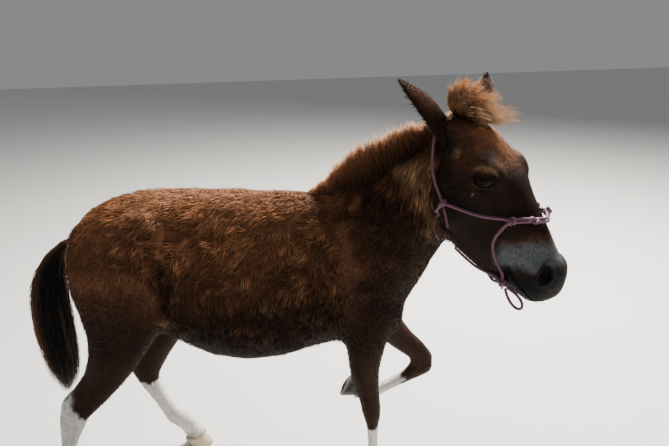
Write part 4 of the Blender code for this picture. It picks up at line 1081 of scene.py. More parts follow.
# The coat by region, each laid over those before it: length, width, height of the tips over the skin, share
# drawn into clumps, tufts for the area, how far the lie strays in degrees, and the share of tan at the tips.
coat = {
    "count": 93000, "perPiece": 19500, "taper": (0.8, 0.75), "clumpEvery": 80, "smallClumpEvery": 9,
    # gap: how far from a big clump's middle a tuft lies in the gap between clumps, where it rises less and is
    # darkened as painted shade
    # shadeUnderLong: how much the skin under long hair is darkened as painted shade
    "gap": (0.009, 0.021), "specks": 0.10, "shadeUnderLong": 0.50, "rootDepth": 0.0012,
    # how far big clumps, small ones and single tufts turn from the lie, and how high they rise
    "turns": (0.75, 0.45, 0.35), "rises": ((0.5, 1.15), (0.75, 1.15), (0.45, 1.0)),
    "reaches": (0.75, 1.2), "widths": (0.7, 1.2),
    # how far tips are drawn to small and to big clumps, and the farthest for the latter
    "drawn": (0.75, 0.35), "farthest": 0.012,
    # unevenness of colour: single tufts, more on the head, small clumps, big clumps
    "uneven": (0.13, 0.26, 0.12, 0.20), "streaks": 0.42,
    "columns": ("length", "width", "rise", "clump", "density", "stray", "tanTips"),
    "trunk": (0.034, 0.0029, 0.0108, 0.78, 1.0, 32, 0.50),
    "back": (0.023, 0.0028, 0.0076, 0.42, 1.15, 11, 0.22),
    "belly": (0.026, 0.0030, 0.0070, 0.45, 0.75, 10, 0.04),
    "neck": (0.036, 0.0023, 0.0100, 0.48, 1.15, 7, 0.30),
    "thigh": (0.013, 0.0023, 0.0045, 0.30, 1.15, 7, 0.05),
    "leg": (0.011, 0.0020, 0.0030, 0.25, 1.25, 8, 0.04),
    "foot": (0.0080, 0.0015, 0.0020, 0.25, 1.6, 10, 0.0),
    "head": (0.0100, 0.0013, 0.0020, 0.30, 2.0, 9, 0.26),
    "face": (0.0075, 0.0011, 0.0014, 0.15, 2.4, 7, 0.08),
    "muzzle": (0.0034, 0.0008, 0.0007, 0.0, 3.0, 14, 0.0),
    "fringe": (0.036, 0.0026, 0.0100, 0.55, 1.9, 8, 0.35),
    "hoofTop": (0.015, 0.0022, 0.0055, 0.2, 2.6, 9, 0.0),
}


def overHooves(points):
    # 1 just over the hooves
    share = np.zeros(len(points))
    for name in hooves["places"]:
        found = hoofPlaces(points, name)
        near = np.hypot(found[:, 0], found[:, 1]) < 0.07
        over = np.abs(found[:, 2] - hooves["height"] - 0.003)
        share = np.maximum(share, (1 - ease(over, 0.006, 0.014)) * near)
    return share


def regionShares(points):
    b, h = bodyPlaces(points), headPlaces(points)
    head = onFaceShare(points)
    a, c, u = h.T
    back = ease(b[:, 2] + np.abs(b[:, 1]) * 0.25, 0.860, 0.915)
    back = np.maximum(back, ease(b[:, 0], -0.53, -0.60) * ease(b[:, 2], 0.70, 0.80))
    fringe = np.exp(-((beyondEdge(points) + 0.010) / 0.014) ** 2) * ease(u, 0.02, -0.02) * (np.abs(c) > 0.045)
    fringe *= ease(b[:, 2], 0.70, 0.76)
    return {
        "back": back, "belly": ease(b[:, 2], 0.60, 0.50), "neck": onNeckShare(points),
        "thigh": onThighShare(points), "leg": onLegShare(points),
        "foot": np.maximum(ease(b[:, 2], 0.30, 0.24), stockings(points)), "head": head,
        "face": head * ease(a - 0.2 * u, 0.10, 0.20), "muzzle": onMuzzleShare(points), "fringe": fringe,
        "hoofTop": overHooves(points),
    }


def inRegions(key, shares):
    column = coat["columns"].index(key)
    return painted({region: coat[region][column] for region in ("trunk", *shares)}, shares, shares)


def bareShare(points):
    # 0 where no hair grows: lids, nostrils, between the lips
    grows = np.ones(len(points))
    for side in (-1, 1):
        x, y, z = eyePlaces(points, side).T
        near = (np.abs(z) < 0.04) & (np.hypot(x / (lids["half"] + 0.0035), y / (lids["upper"] + 0.0035)) < 1)
        grows[near] = 0
    h = headPlaces(points)
    grows[(np.hypot(*nostrilPlaces(h)) < 1.25) & (h[:, 0] > 0.37)] = 0
    over, along = lipPlace(h)
    grows[(np.abs(over) < 0.004) & (along > 0.5)] = 0
    return grows


def surfaceOf(mesh):
    # corners, normals and unwrap of each triangle
    mesh.calc_loop_triangles()
    count = len(mesh.loop_triangles)
    verts, loops = np.empty(count * 3, np.int32), np.empty(count * 3, np.int32)
    mesh.loop_triangles.foreach_get("vertices", verts)
    mesh.loop_triangles.foreach_get("loops", loops)
    uvs = np.empty(len(mesh.loops) * 2, np.float32)
    mesh.uv_layers["OFBake"].data.foreach_get("uv", uvs)
    return {"places": coordinates(mesh)[verts].reshape(-1, 3, 3),
            "normals": normalsOf(mesh)[verts].reshape(-1, 3, 3),
            "uvs": uvs.reshape(-1, 2)[loops].reshape(-1, 3, 2)}


def scatter(surface, count, density):
    # places spread over the surface, denser where density says so
    corners = surface["places"]
    area = np.linalg.norm(np.cross(corners[:, 1] - corners[:, 0], corners[:, 2] - corners[:, 0]), axis=1) / 2
    weight = area * density(corners.mean(1))
    spots = (np.arange(count) + rand.random(count)) / count
    picked = np.clip(np.searchsorted(np.cumsum(weight) / weight.sum(), spots), 0, len(corners) - 1)
    p, q = rand.random(count), rand.random(count)
    over = p + q > 1
    p[over], q[over] = 1 - p[over], 1 - q[over]
    share = np.stack([1 - p - q, p, q], 1)[:, :, None]
    places, normals, uvs = ((surface[key][picked] * share).sum(1) for key in ("places", "normals", "uvs"))
    return places, unit(normals), uvs


def overSkin(places, least):
    # lifts the places that would lie under the skin, where it folds in
    tree = skinTree()
    lifted = places.copy()
    for index, place in enumerate(places):
        near, normal = tree.find_nearest(place)[:2]
        over = (Vector(place) - near).dot(normal)
        if over < least[index]:
            lifted[index] = near + normal * least[index]
    return lifted


def nearestOf(points, centres):
    tree = KDTree(len(centres))
    for index, centre in enumerate(centres):
        tree.insert(centre, index)
    tree.balance()
    return np.array([tree.find(point)[1] for point in points])


def turned(ways, normals, angles):
    across = np.cross(normals, ways)
    return ways * np.cos(angles)[:, None] + across * np.sin(angles)[:, None]


def strandMesh(name, lines, normals, widths, colours, uvs, taper=None, flat=0.42, sides=3):
    # one closed strand along each line of places, the last place its tip
    count, steps = lines.shape[0], lines.shape[1] - 1
    taper = np.linspace(1, 0.55, steps) if taper is None else np.array(taper)
    angles = np.arange(sides) / sides * 2 * math.pi + math.pi / 2
    along = unit(np.concatenate([lines[:, 1:2] - lines[:, :1], lines[:, 2:] - lines[:, :-2]], 1))
    side = unit(np.cross(along, normals[:, None]))
    up = np.cross(side, along)
    halves = widths[:, None] * taper[None] / 2
    half = halves[:, :, None]
    body = np.stack([lines[:, :-1] + side * half * math.cos(angle) + up * half * flat * math.sin(angle)
                     for angle in angles], 2).reshape(count, steps * sides, 3)
    points = np.concatenate([body, lines[:, -1:]], 1)
    each = steps * sides + 1
    m = np.arange(sides)
    after = (m + 1) % sides
    quads = np.concatenate([np.stack([after, m, sides + m, sides + after], 1) + k * sides
                            for k in range(steps - 1)])
    last = (steps - 1) * sides
    tips = np.stack([last + after, last + m, np.full(sides, each - 1)], 1)
    one = np.concatenate([quads.ravel(), tips.ravel(), m])
    sizes = np.concatenate([np.full(len(quads), 4), np.full(sides, 3), [sides]])
    loops = (one[None] + (np.arange(count) * each)[:, None]).ravel().astype(np.int32)
    starts = np.concatenate([[0], np.cumsum(np.tile(sizes, count))[:-1]]).astype(np.int32)
    mesh = bpy.data.meshes.new(name)
    mesh.vertices.add(count * each)
    mesh.vertices.foreach_set("co", points.astype(np.float32).ravel())
    mesh.loops.add(len(loops))
    mesh.loops.foreach_set("vertex_index", loops)
    mesh.polygons.add(len(starts))
    mesh.polygons.foreach_set("loop_start", starts)
    mesh.update(calc_edges=True)
    stepLengths = np.linalg.norm(np.diff(lines, axis=1), axis=2)
    lengths = np.concatenate([np.zeros((count, 1)), np.cumsum(stepLengths, 1)], 1)
    away = rand.random((count, 1)) * 40
    along, none = lengths + away, np.zeros((count, 1))
    hair = np.stack([np.stack([halves * math.cos(angle), halves * flat * math.sin(angle), along[:, :-1]], 2)
                     for angle in angles], 2).reshape(count, steps * sides, 3)
    tip = np.stack([none, none, along[:, -1:]], 2)
    hair = np.concatenate([hair, tip], 1)
    storePlaces(mesh, "hairPlace", hair)
    tints = np.concatenate([np.repeat(colours[:, :-1], sides, axis=1), colours[:, -1:]], 1)
    storeColours(mesh, "coatColour", tints)
    patch = np.stack([np.tile(m / sides, steps), np.repeat(np.arange(steps) / steps, sides)], 1)
    patch = (np.concatenate([patch, [[0.5, 1.0]]]) - 0.5) * 0.003
    spots = (uvs[:, None] + patch[None]).reshape(-1, 2)[loops]
    mesh.uv_layers.new(name="OFBake").data.foreach_set("uv", spots.astype(np.float32).ravel())
    mesh.shade_smooth()
    return mesh


def addStrands(name, slot, replaced, paint, *shape, **more):
    settle(addMeshPiece(name, strandMesh(name, *shape, **more)), replaced, paint)


def longShare(rise):
    # 0 for short flat hair, 1 for the long hair of trunk and neck
    return np.clip((rise - 0.0035) / 0.006, 0, 1)


def paintSkin():
    mesh = skin.data
    places, normals = coordinates(mesh), normalsOf(mesh)
    # the skin under long hair is darkened as painted shade, so that gaps between the tufts look dark
    shade = 0.92 - coat["shadeUnderLong"] * longShare(inRegions("rise", regionShares(places)))
    storeColours(mesh, "coatColour", coatColour(places) * shade[:, None])
    # places squeezed along the lie, so that the noise on them runs in streaks
    ways = lieOf(places, normals)
    local = bodyPlaces(places)
    storePlaces(mesh, "hairPlace", local - ways * (local * ways).sum(1)[:, None] * 0.85)
    paint = makeHairPaint("skinPaint", 0.65, 0.12, (900, 900, 900), ((0, 1), (0.55, 1.45)), (0.45, 0.0008))
    settle(skin, flesh, paint)


def makeCoat():
    count = int(coat["count"] * hairShare)

    def density(points):
        return inRegions("density", regionShares(points)) * bareShare(points)

    roots, normals, uvs = scatter(surfaceOf(skin.data), count, density)
    grows = bareShare(roots) > 0.5
    roots, normals, uvs = roots[grows], normals[grows], uvs[grows]
    count = len(roots)
    shares = regionShares(roots)
    length, width, rise, clump, stray, tan = (inRegions(key, shares) for key in
                                              ("length", "width", "rise", "clump", "stray", "tanTips"))
    big = rand.permutation(count)[:count // coat["clumpEvery"]]
    small = rand.permutation(count)[:count // coat["smallClumpEvery"]]
    ofBig, ofSmall = nearestOf(roots, roots[big]), nearestOf(roots, roots[small])
    fromMiddle = np.linalg.norm(roots - roots[big][ofBig], axis=1)
    gap = ease(fromMiddle, *coat["gap"]) * np.clip(clump * 1.8 - 0.45, 0, 1)
    bigTurn, smallTurn, ownTurn = coat["turns"]
    turns = rand.normal(size=len(big))[ofBig] * bigTurn + rand.normal(size=len(small))[ofSmall] * smallTurn
    turns += rand.normal(size=count) * ownTurn
    ways = turned(lieOf(roots, normals), normals, np.radians(stray) * turns)
    bigRises, smallRises, ownRises = coat["rises"]
    bigRise = rand.uniform(*bigRises, len(big))[ofBig] * (1 - 0.4 * gap)
    smallRise = rand.uniform(*smallRises, len(small))[ofSmall]
    ownRise = rand.uniform(*ownRises, count)
    reach = length * rand.uniform(*coat["reaches"], count)
    height = np.minimum(rise * bigRise * smallRise * ownRise * 1.25, rise * 1.15)
    tips = roots + ways * reach[:, None] + normals * height[:, None]
    # tips drawn together, to the middles of the small clumps and those to the big ones
    gathered = roots[small] + ways[small] * length[small, None]
    toward = gathered[ofSmall] + normals * height[:, None]
    bigTips = (roots[big] + ways[big] * length[big, None])[ofBig] + normals * height[:, None]
    pull = (clump * rand.uniform(0.5, 1.0, count))[:, None]
    toSmall, toBig = coat["drawn"]
    wanted = tips + (toward - tips) * pull * toSmall
    wanted += np.clip(bigTips - wanted, -coat["farthest"], coat["farthest"]) * pull * toBig
    move = wanted - tips
    tips += move - normals * np.minimum((move * normals).sum(1), 0)[:, None]
    middle = roots + ways * (reach * 0.5)[:, None] + normals * (height * 0.72)[:, None]
    middle += (wanted - tips) * 0.2
    middle += (tips - roots - ways * reach[:, None] - normals * height[:, None]) * 0.35
    middle, tips = overSkin(middle, height * 0.55), overSkin(tips, height * 0.45)
    lines = np.stack([roots - normals * coat["rootDepth"], middle, tips], 1)
    base = coatColour(roots)
    single, onHeadMore, ofSmalls, ofBigs = coat["uneven"]
    uneven = single + onHeadMore * (shares["head"] * (1 - shares["muzzle"]))[:, None]
    own = 1 + rand.normal(0.0, 1.0, (count, 1)) * uneven
    own = own * (1 + ofSmalls * rand.normal(size=len(small))[ofSmall][:, None])
    # tufts in the gaps between big clumps are darkened: painted shade
    own = own * (1 + ofBigs * (rand.normal(size=len(big))[ofBig] * clump)[:, None]) * (1 - 0.6 * gap[:, None])
    level = np.clip(height / rise, 0, 1.2)[:, None]
    base = base * np.clip(own, 0.45, 1.75)
    specks = (rand.random(count) < coat["specks"]) * shares["muzzle"]
    base = base * (1 - 0.8 * specks[:, None])
    streak = (rand.normal(size=len(small))[ofSmall] * np.maximum(shares["neck"], shares["fringe"]))[:, None]
    base = base * np.clip(0.85 + coat["streaks"] * streak, 0.35, 2.0)
    tipShare = tan[:, None] * np.clip(level * 1.3 - 0.35, 0, 1) * rand.uniform(0.2, 1.5, (count, 1))
    tipTint = base * (0.85 + 0.35 * level)
    tipTint += (tintOf("tan") * (0.42 + 2.6 * base.mean(1)[:, None]) - tipTint) * np.clip(tipShare, 0, 0.9)
    # dark roots, strongest in the long coat: partly the hair's own colour and partly painted shade deep in
    # the coat
    short = (1 - longShare(rise))[:, None]
    rootTint = base * (0.45 + 0.47 * short)
    middleTint = base * (0.65 + 0.3 * level * (1 - short) + 0.33 * short)
    tints = np.clip(np.stack([rootTint, middleTint, tipTint], 1), 0.003, 0.9)
    along = roots[:, 0]
    order = np.lexsort((roots[:, 2], np.digitize(along, np.quantile(along, np.arange(1, 12) / 12))))
    paint = makeCoatPaint("coatPaint", 0.0005)
    pieces = math.ceil(count / coat["perPiece"])
    for index, part in enumerate(np.array_split(order, pieces)):
        widths = width[part] * rand.uniform(*coat["widths"], len(part))
        addStrands(f"coat_{index}", "coat", (), paint, lines[part], normals[part], widths,
                   tints[part], uvs[part], coat["taper"])
    print("coat", count)


paintSkin()
makeCoat()

# Ears: root and tip on the head and the way the hollow faces, then their own short coat.
ears = {
    "nodes": {"ear_right": ((0.034, -0.056, -0.030), (-0.129, -0.140, -0.008), (-0.70, 0.60, -0.45)),
              "ear_left": ((0.040, 0.052, -0.026), (-0.078, 0.166, 0.034), (-0.60, -0.80, 0.00))},
    # shaded is the way the painted shade on the ears faces, away from the lamp
    "intoHead": 0.012, "wider": 1.10, "smooth": 2, "shaded": (-0.6, -0.2, -0.75),
    # each length and rise of its coat outside, then in the hollow
    "count": 5800, "lengths": (0.0095, 0.017), "rises": (0.0022, 0.006), "width": 0.0012,
}


def earPlaces(points, node):
    # share of the way from root to tip, and distance from the ear's middle line
    root, tip, _ = ears["nodes"][node]
    h = headPlaces(points) - np.array(root)
    way = np.array(tip) - np.array(root)
    share = (h @ way) / (way @ way)
    return share, np.linalg.norm(h - share[:, None] * way, axis=1)


def earColour(points, normals, node):
    share, _ = earPlaces(points, node)
    facing = normals @ headRows.T @ unit(np.array(ears["nodes"][node][2]))
    colours = np.tile(tintOf("brown") * 0.52, (len(points), 1))
    wave = wander(headPlaces(points), 0.03, 81) * 0.06
    # under is painted shade on the side of the ear turned away from the lamp, outside the hollow
    under = ease(normals @ unit(np.array(ears["shaded"])), -0.30, 0.40) * (1 - ease(facing, 0.0, 0.3))
    for name, cover in (
        # a dark tip, a dark root half that is partly painted shade, and the painted shade from under
        ("dark", ease(share + wave, 0.80, 0.95)), ("dark", 1 - ease(share + wave, 0.20, 0.62)),
        ("dark", under * 0.95),
        ("silver", ease(facing, 0.15, 0.55) * ease(share, 0.10, 0.3) * (1 - ease(share, 0.75, 0.95)) * 0.75),
        ("dark", np.exp(-((facing + 0.02) / 0.16) ** 2) * 0.85),
    ):
        colours += (tintOf(name) - colours) * cover[:, None]
    return colours * (1 + 0.15 * wander(headPlaces(points), 0.012, 83))[:, None]


def makeEars():
    paint, skinPaint = makeCoatPaint("earCoatPaint", 0.0004), skin.data.materials[0]
    for index, node in enumerate(ears["nodes"]):
        part = addPiece("earShape", joined([node]))
        places = coordinates(part.data)
        share, _ = earPlaces(places, node)
        root, tip, faces = (np.array(place) for place in ears["nodes"][node])
        back = unit(root - tip) @ headRows
        line = np.array(onHead(*root)) + (share[:, None] * (tip - root)) @ headRows
        places = line + (places - line) * ears["wider"]
        displace(part.data, places + back * ((1 - ease(share, 0.0, 0.18)) * ears["intoHead"])[:, None])
        subdivide = part.modifiers.new("round", "SUBSURF")
        subdivide.levels = subdivide.render_levels = ears["smooth"]
        bpy.context.view_layer.update()
        mesh = meshOf(part)
        bpy.data.objects.remove(part)
        made = addMeshPiece(f"ears_{index}", mesh)
        unwrap(made)
        mesh.shade_smooth()
        places, normals = coordinates(mesh), normalsOf(mesh)
        storeColours(mesh, "coatColour", earColour(places, normals, node) * 0.7)
        storePlaces(mesh, "hairPlace", bodyPlaces(places))
        settle(made, [node], skinPaint)
        count = int(ears["count"] * hairShare)
        roots, normals, uvs = scatter(surfaceOf(mesh), count,
                                      lambda points: 0.3 + ease(earPlaces(points, node)[0], -0.1, 0.1))
        share, _ = earPlaces(roots, node)
        hollow = ease(normals @ headRows.T @ unit(faces), 0.2, 0.6) * (1 - ease(share, 0.80, 0.95))
        way = flattened(np.tile(unit(tip - root) @ headRows, (count, 1)), normals)
        way = turned(way, normals, rand.normal(size=count) * (0.16 + 0.30 * hollow))
        reach = np.interp(hollow, (0, 1), ears["lengths"]) * rand.uniform(0.7, 1.2, count)
        rise = np.interp(hollow, (0, 1), ears["rises"]) * rand.uniform(0.4, 1.1, count)
        middle = roots + way * (reach * 0.5)[:, None] + normals * (rise * 0.8)[:, None]
        end = roots + way * reach[:, None] + normals * rise[:, None]
        lines = np.stack([roots - normals * 0.0008, middle, end], 1)
        base = earColour(roots, normals, node) * rand.normal(1.0, 0.15, (count, 1))
        # dark roots and light tips: partly the hair's own colour and partly painted shade low in the hair
        tints = np.clip(np.stack([base * 0.5, base * 0.9, base * 1.25], 1), 0.003, 0.9)
        addStrands(f"ears_coat_{index}", "coat", (), paint, lines, normals,
                   ears["width"] * rand.uniform(0.7, 1.3, count), tints, uvs)


# Mane: where it stands on the crest, its top edge, and half its thickness at the foot.
mane = {
    "rows": (
        ((-0.050, 0.000, 0.888), (-0.040, -0.002, 0.908), 0.012),
        ((0.000, 0.000, 0.900), (0.008, -0.004, 0.945), 0.020),
        ((0.035, -0.002, 0.910), (0.034, -0.010, 0.985), 0.024),
        ((0.078, -0.008, 0.925), (0.066, -0.018, 1.020), 0.027),
        ((0.125, -0.025, 0.950), (0.108, -0.030, 1.043), 0.028),
        ((0.172, -0.048, 0.985), (0.155, -0.046, 1.070), 0.028),
        ((0.222, -0.070, 1.024), (0.206, -0.064, 1.092), 0.023),
        ((0.268, -0.090, 1.056), (0.257, -0.082, 1.103), 0.018),
        ((0.300, -0.102, 1.081), (0.294, -0.096, 1.118), 0.015),
        ((0.322, -0.110, 1.100), (0.320, -0.104, 1.128), 0.012),
    ),
    "count": 6800, "width": 0.0027, "under": 0.016, "steps": 5, "clumps": 110,
    "taper": (0.8, 1.0, 0.9, 0.75, 0.45), "clumpArea": (0.45, 0.028), "wave": 0.0012, "back": 0.004,
    # how far clumps lean aside and ahead, and single hairs; height and its spread for hairs and clumps
    "leans": (0.010, 0.009), "ownLeans": (0.005, 0.005), "tall": (0.92, 0.09), "clumpTall": 0.05,
    "tallEnds": (0.55, 1.12),
}


def rowsAt(rows, at):
    # foot, top and half thickness at shares 0 to 1 along a table of rows
    flat = [(*foot, *top, half) for foot, top, half in rows]
    found = between(np.clip(at, 0, 1) * (len(rows) - 1), np.arange(len(rows)), flat)
    return found[:, :3], found[:, 3:6], found[:, 6]


def rootsOnSkin(places):
    # unwrap places of the points of the skin nearest to these
    surface = surfaceOf(skin.data)
    middles, centre = surface["places"].mean(1), places.mean(0)
    reach = np.linalg.norm(places - centre, axis=1).max() + 0.05
    near = np.linalg.norm(middles - centre, axis=1) < reach
    return surface["uvs"].mean(1)[near][nearestOf(places, middles[near])]


def maneColour(share, along, count):
    # dark at the foot, brown, then tan and orange tips
    dark, brown = tintOf("dark"), tintOf("brown")
    tints = (dark, dark * 1.4, brown * 0.5, brown * 1.5, tintOf("tan"))
    colours = between(share, (0.0, 0.22, 0.52, 0.85, 1.0), tints)
    front = ease(along, 0.30, 0.05)[:, None, None]
    return colours * (1 + front * 0.5) * rand.normal(1.0, 0.22, (count, 1, 1))


def makeMane():
    count, clumps = int(mane["count"] * hairShare), mane["clumps"]
    at = (np.arange(count) + rand.random(count)) / count
    foot, top, half = rowsAt(mane["rows"], at)
    ahead, _, _ = rowsAt(mane["rows"], at + 0.03)
    behind, _, _ = rowsAt(mane["rows"], at - 0.03)
    along = unit(ahead - behind)
    rise = top - foot
    across = unit(np.cross(along, rise))
    v = np.clip(rand.normal(size=count) * 0.5, -1, 1)
    long, wide = mane["clumpArea"]
    middles = np.column_stack([rand.random(clumps) * long, rand.uniform(-wide, wide, clumps),
                               np.zeros(clumps)])
    clump = nearestOf(np.column_stack([at * long, v * wide, np.zeros(count)]), middles)
    lean = rand.normal(size=(clumps, 2))[clump] * mane["leans"]
    lean = lean + rand.normal(size=(count, 2)) * mane["ownLeans"]
    tall = rand.normal(*mane["tall"], count) + rand.normal(size=clumps)[clump] * mane["clumpTall"]
    tall = np.clip(tall, *mane["tallEnds"])
    tall *= 1 - 0.25 * np.abs(v) ** 2
    root = foot + across * (v * half)[:, None] - unit(rise) * mane["under"]
    t = np.linspace(0, 1, mane["steps"] + 1)[None, :, None]
    up = rise + unit(rise) * mane["under"]
    tip = up * tall[:, None] + across * (-v * half * 0.45)[:, None]
    sway = across * lean[:, :1] + along * lean[:, 1:] - along * mane["back"]
    lines = root[:, None] + tip[:, None] * t + sway[:, None] * t ** 2
    wave = np.sin(t * 5 + rand.uniform(0, 6.3, (count, 1, 1))) * mane["wave"] * t
    lines += across[:, None] * wave
    lines = lines + withersPlace
    normals = np.where((v > 0)[:, None], across, -across)
    share = t[:, :, 0] * tall[:, None]
    tints = np.clip(maneColour(share, at, count), 0.004, 0.9)
    addStrands("mane_hair", "mane", ["mane"], makeCoatPaint("manePaint", 0.0005, 0.5), lines, normals,
               mane["width"] * rand.uniform(0.7, 1.3, count), tints, rootsOnSkin(lines[:, 0]), mane["taper"])


# Forelock: rooted between the ears, up from the poll and over towards the brow.
forelock = {
    "count": 3300, "steps": 7, "width": 0.0015, "roots": ((-0.105, 0.046), 0.046), "length": (0.070, 0.132),
    "up": 0.74, "over": 0.76, "swirl": 0.020, "nearer": 0.014, "clumps": 70,
    "taper": (0.9, 1.0, 1.0, 0.9, 0.8, 0.6, 0.35),
}


def makeForelock():
    count = int(forelock["count"] * hairShare)
    (start, end), wide = forelock["roots"]
    f = rand.random(count)
    a = start + (end - start) * f
    c = rand.uniform(-1, 1, count) * wide * (1 - 0.28 * f) - forelock["nearer"] * (1 - f) ** 1.5
    tree = skinTree()
    roots = np.array([tree.find_nearest(onHead(one, two, 0.06))[0] for one, two in zip(a, c)])
    forward = unit(headRows[0] * 0.64 + headRows[2] * 0.77)
    up, aside = np.array([0.0, 0.0, 1.0]), headRows[1]
    clumps = forelock["clumps"]
    middles = np.column_stack([rand.uniform(start, end, clumps), rand.uniform(-wide, wide, clumps),
                               np.zeros(clumps)])
    clump = nearestOf(np.column_stack([a, c, np.zeros(count)]), middles)
    mood = rand.normal(size=(clumps, 4))[clump]
    own = rand.normal(size=(count, 4))
    length = rand.uniform(*forelock["length"], count) * (1 - 0.12 * np.abs(mood[:, 0]).clip(0, 2))
    length *= 0.76 + 0.30 * f
    reach = length * (forelock["over"] * (0.10 + 0.90 * f) + 0.07 * mood[:, 1] + 0.06 * own[:, 1])
    # beside the nearer ear they stand up
    reach *= 1 - 0.75 * ease(-c, 0.012, 0.030) * ease(f, 0.84, 0.66)
    height = length * (forelock["up"] * (1.10 - 0.75 * f ** 1.3) + 0.06 * mood[:, 2] + 0.06 * own[:, 2])
    side = c * 0.55 + mood[:, 3] * 0.011 + own[:, 3] * 0.006
    t = np.linspace(0, 1, forelock["steps"] + 1)[None, :]
    lift = height[:, None] * (np.sin(t * 1.9) * 0.85 + 0.25 * t)
    lift -= (length * 0.22 * f ** 2)[:, None] * t ** 2.5
    over = reach[:, None] * t ** 1.7 - (0.010 * (1 - f))[:, None] * np.sin(t * 3)
    turnSide = side[:, None] * t + forelock["swirl"] * 0.35 * np.sin(t * 4.5 + mood[:, :1]) * t
    lines = (roots[:, None] - headRows[2] * 0.004 + up * lift[:, :, None] + forward * over[:, :, None]
             + aside * turnSide[:, :, None])
    normals = np.tile(unit(headRows[2] * 0.6 + (0, -0.6, 0.5)), (count, 1))
    # some lower strands are darkened towards their roots: painted shadow under the forelock's top layer
    low = ((f > 0.55) & (rand.random(count) < 0.55))[:, None, None]
    tints = (tintOf("black"), tintOf("dark") * 1.5, tintOf("chestnut"), tintOf("tan") * 1.12,
             tintOf("pale") * (1.12, 0.98, 0.80))
    colours = between(t[0], (0.0, 0.18, 0.45, 0.8, 1.0), tints)[None]
    colours = colours * rand.normal(1.0, 0.22, (count, 1, 1)) * (1 - 0.45 * low * (1 - t[:, :, None]) ** 0.5)
    paint = makeCoatPaint("forelockPaint", 0.0004, 0.5)
    widths = forelock["width"] * rand.uniform(0.6, 1.3, count)
    addStrands("forelock_hair", "mane", ["forelock"], paint, lines, normals, widths,
               np.clip(colours, 0.004, 0.9), rootsOnSkin(roots), forelock["taper"])


# Tail: rear and front edge of each section in side view, half its thickness.
tail = {
    "rows": (
        ((-0.722, 0.822), (-0.700, 0.775), 0.020), ((-0.748, 0.800), (-0.722, 0.765), 0.026),
        ((-0.785, 0.762), (-0.744, 0.735), 0.033), ((-0.824, 0.710), (-0.752, 0.700), 0.038),
        ((-0.852, 0.650), (-0.755, 0.650), 0.041), ((-0.864, 0.590), (-0.755, 0.590), 0.042),
        ((-0.866, 0.530), (-0.755, 0.530), 0.041), ((-0.861, 0.465), (-0.757, 0.465), 0.038),
        ((-0.854, 0.405), (-0.759, 0.405), 0.033), ((-0.846, 0.350), (-0.768, 0.345), 0.025),
        ((-0.830, 0.300), (-0.792, 0.298), 0.013),
    ),
    "count": 2700, "steps": 8, "width": 0.0026, "insideHide": 0.030, "dockRows": 4.6, "wave": 0.004,
    "taper": (0.7, 1.0, 1.0, 1.0, 0.9, 0.8, 0.65, 0.4),
}


def makeTail():
    count = int(tail["count"] * hairShare)
    rows = [(*rear, *front, half) for rear, front, half in tail["rows"]]
    angle, out = rand.uniform(0, 2 * math.pi, count), np.sqrt(rand.random(count))
    s, v = np.cos(angle) * out, np.sin(angle) * out
    first = rand.random(count) ** 1.3 * tail["dockRows"]
    last = np.clip(rand.normal(9.4, 0.8, count), 6.0, 10.3) - 0.9 * out ** 2
    t = np.linspace(0, 1, tail["steps"] + 1)[None]
    row = first[:, None] + (last - first)[:, None] * t
    found = between(row, np.arange(len(rows)), rows)
    spread = ease(row - first[:, None], -0.3, 2.6)
    core = 0.42 - 0.10 * ease(row, 0, 4)
    place = core + (0.5 + s[:, None] * 0.5 - core) * spread
    x = found[:, :, 2] + (found[:, :, 0] - found[:, :, 2]) * place
    z = found[:, :, 3] + (found[:, :, 1] - found[:, :, 3]) * place
    y = v[:, None] * found[:, :, 4] * (0.25 + 0.75 * spread)
    sway = rand.uniform(0, 6.3, (count, 2, 1))
    grown = np.clip(t * 3, 0, 1) * tail["wave"]
    x = x + np.sin(row * 1.1 + sway[:, 0]) * grown + rand.normal(size=(count, 1)) * 0.004 * t ** 2
    y = y + np.sin(row * 1.3 + sway[:, 1]) * grown + rand.normal(size=(count, 1)) * 0.005 * t ** 2
    lines = np.stack([x, y, z], 2) + withersPlace
    into = np.clip(1 - first / 1.2, 0, 1)[:, None] * tail["insideHide"]
    lines[:, 0] += into * np.array([[0.75, 0.0, 0.25]])
    normals = unit(np.stack([-s * 0.7 - 0.05, v, np.zeros(count) + 0.12], 1))
    rear = ease(s, 0.15, 0.85)[:, None, None] * (0.4 + 0.6 * rand.random((count, 1, 1)))
    base = tintOf("black") * 1.3 + (tintOf("brown") - tintOf("black")) * rear
    light = (rand.random(count) < 0.02 + 0.06 * (s < -0.6))[:, None, None]
    base = base + (tintOf("tan") * 0.40 - base) * light * 0.7
    top = (1 - ease(row, 0.0, 2.0))[:, :, None]
    colours = base + (tintOf("chocolate") * 1.3 - base) * top * 0.8
    colours = colours * rand.normal(1.0, 0.25, (count, 1, 1)) * (1 + 0.5 * (t ** 2)[:, :, None])
    paint = makeCoatPaint("tailPaint", 0.0006, 0.42)
    widths = tail["width"] * rand.uniform(0.6, 1.3, count)
    addStrands("tail_hair", "tail", ["tail"], paint, lines, normals, widths,
               np.clip(colours, 0.004, 0.9), rootsOnSkin(lines[:, 0]), tail["taper"])


# Eyes: brown iris, lying pupil, wet cornea; then lashes and feelers.
eyes = {
    "iris": 0.0170, "irisColour": (0.010, 0.005, 0.003), "white": (0.012, 0.009, 0.007),
    "pupil": (0.0085, 0.0040), "pupilColour": (0.002, 0.002, 0.003),
    "upperLashes": 70, "lowerLashes": 26, "lash": 0.0135, "lashWidth": 0.00042,
    "feelers": 46, "feelerLength": 0.030, "steps": 6, "droops": {1: -0.42, -1: -0.1},
    "feelerArea": ((0.395, 0.475), (0.012, 0.05), (-0.135, -0.055)),
}


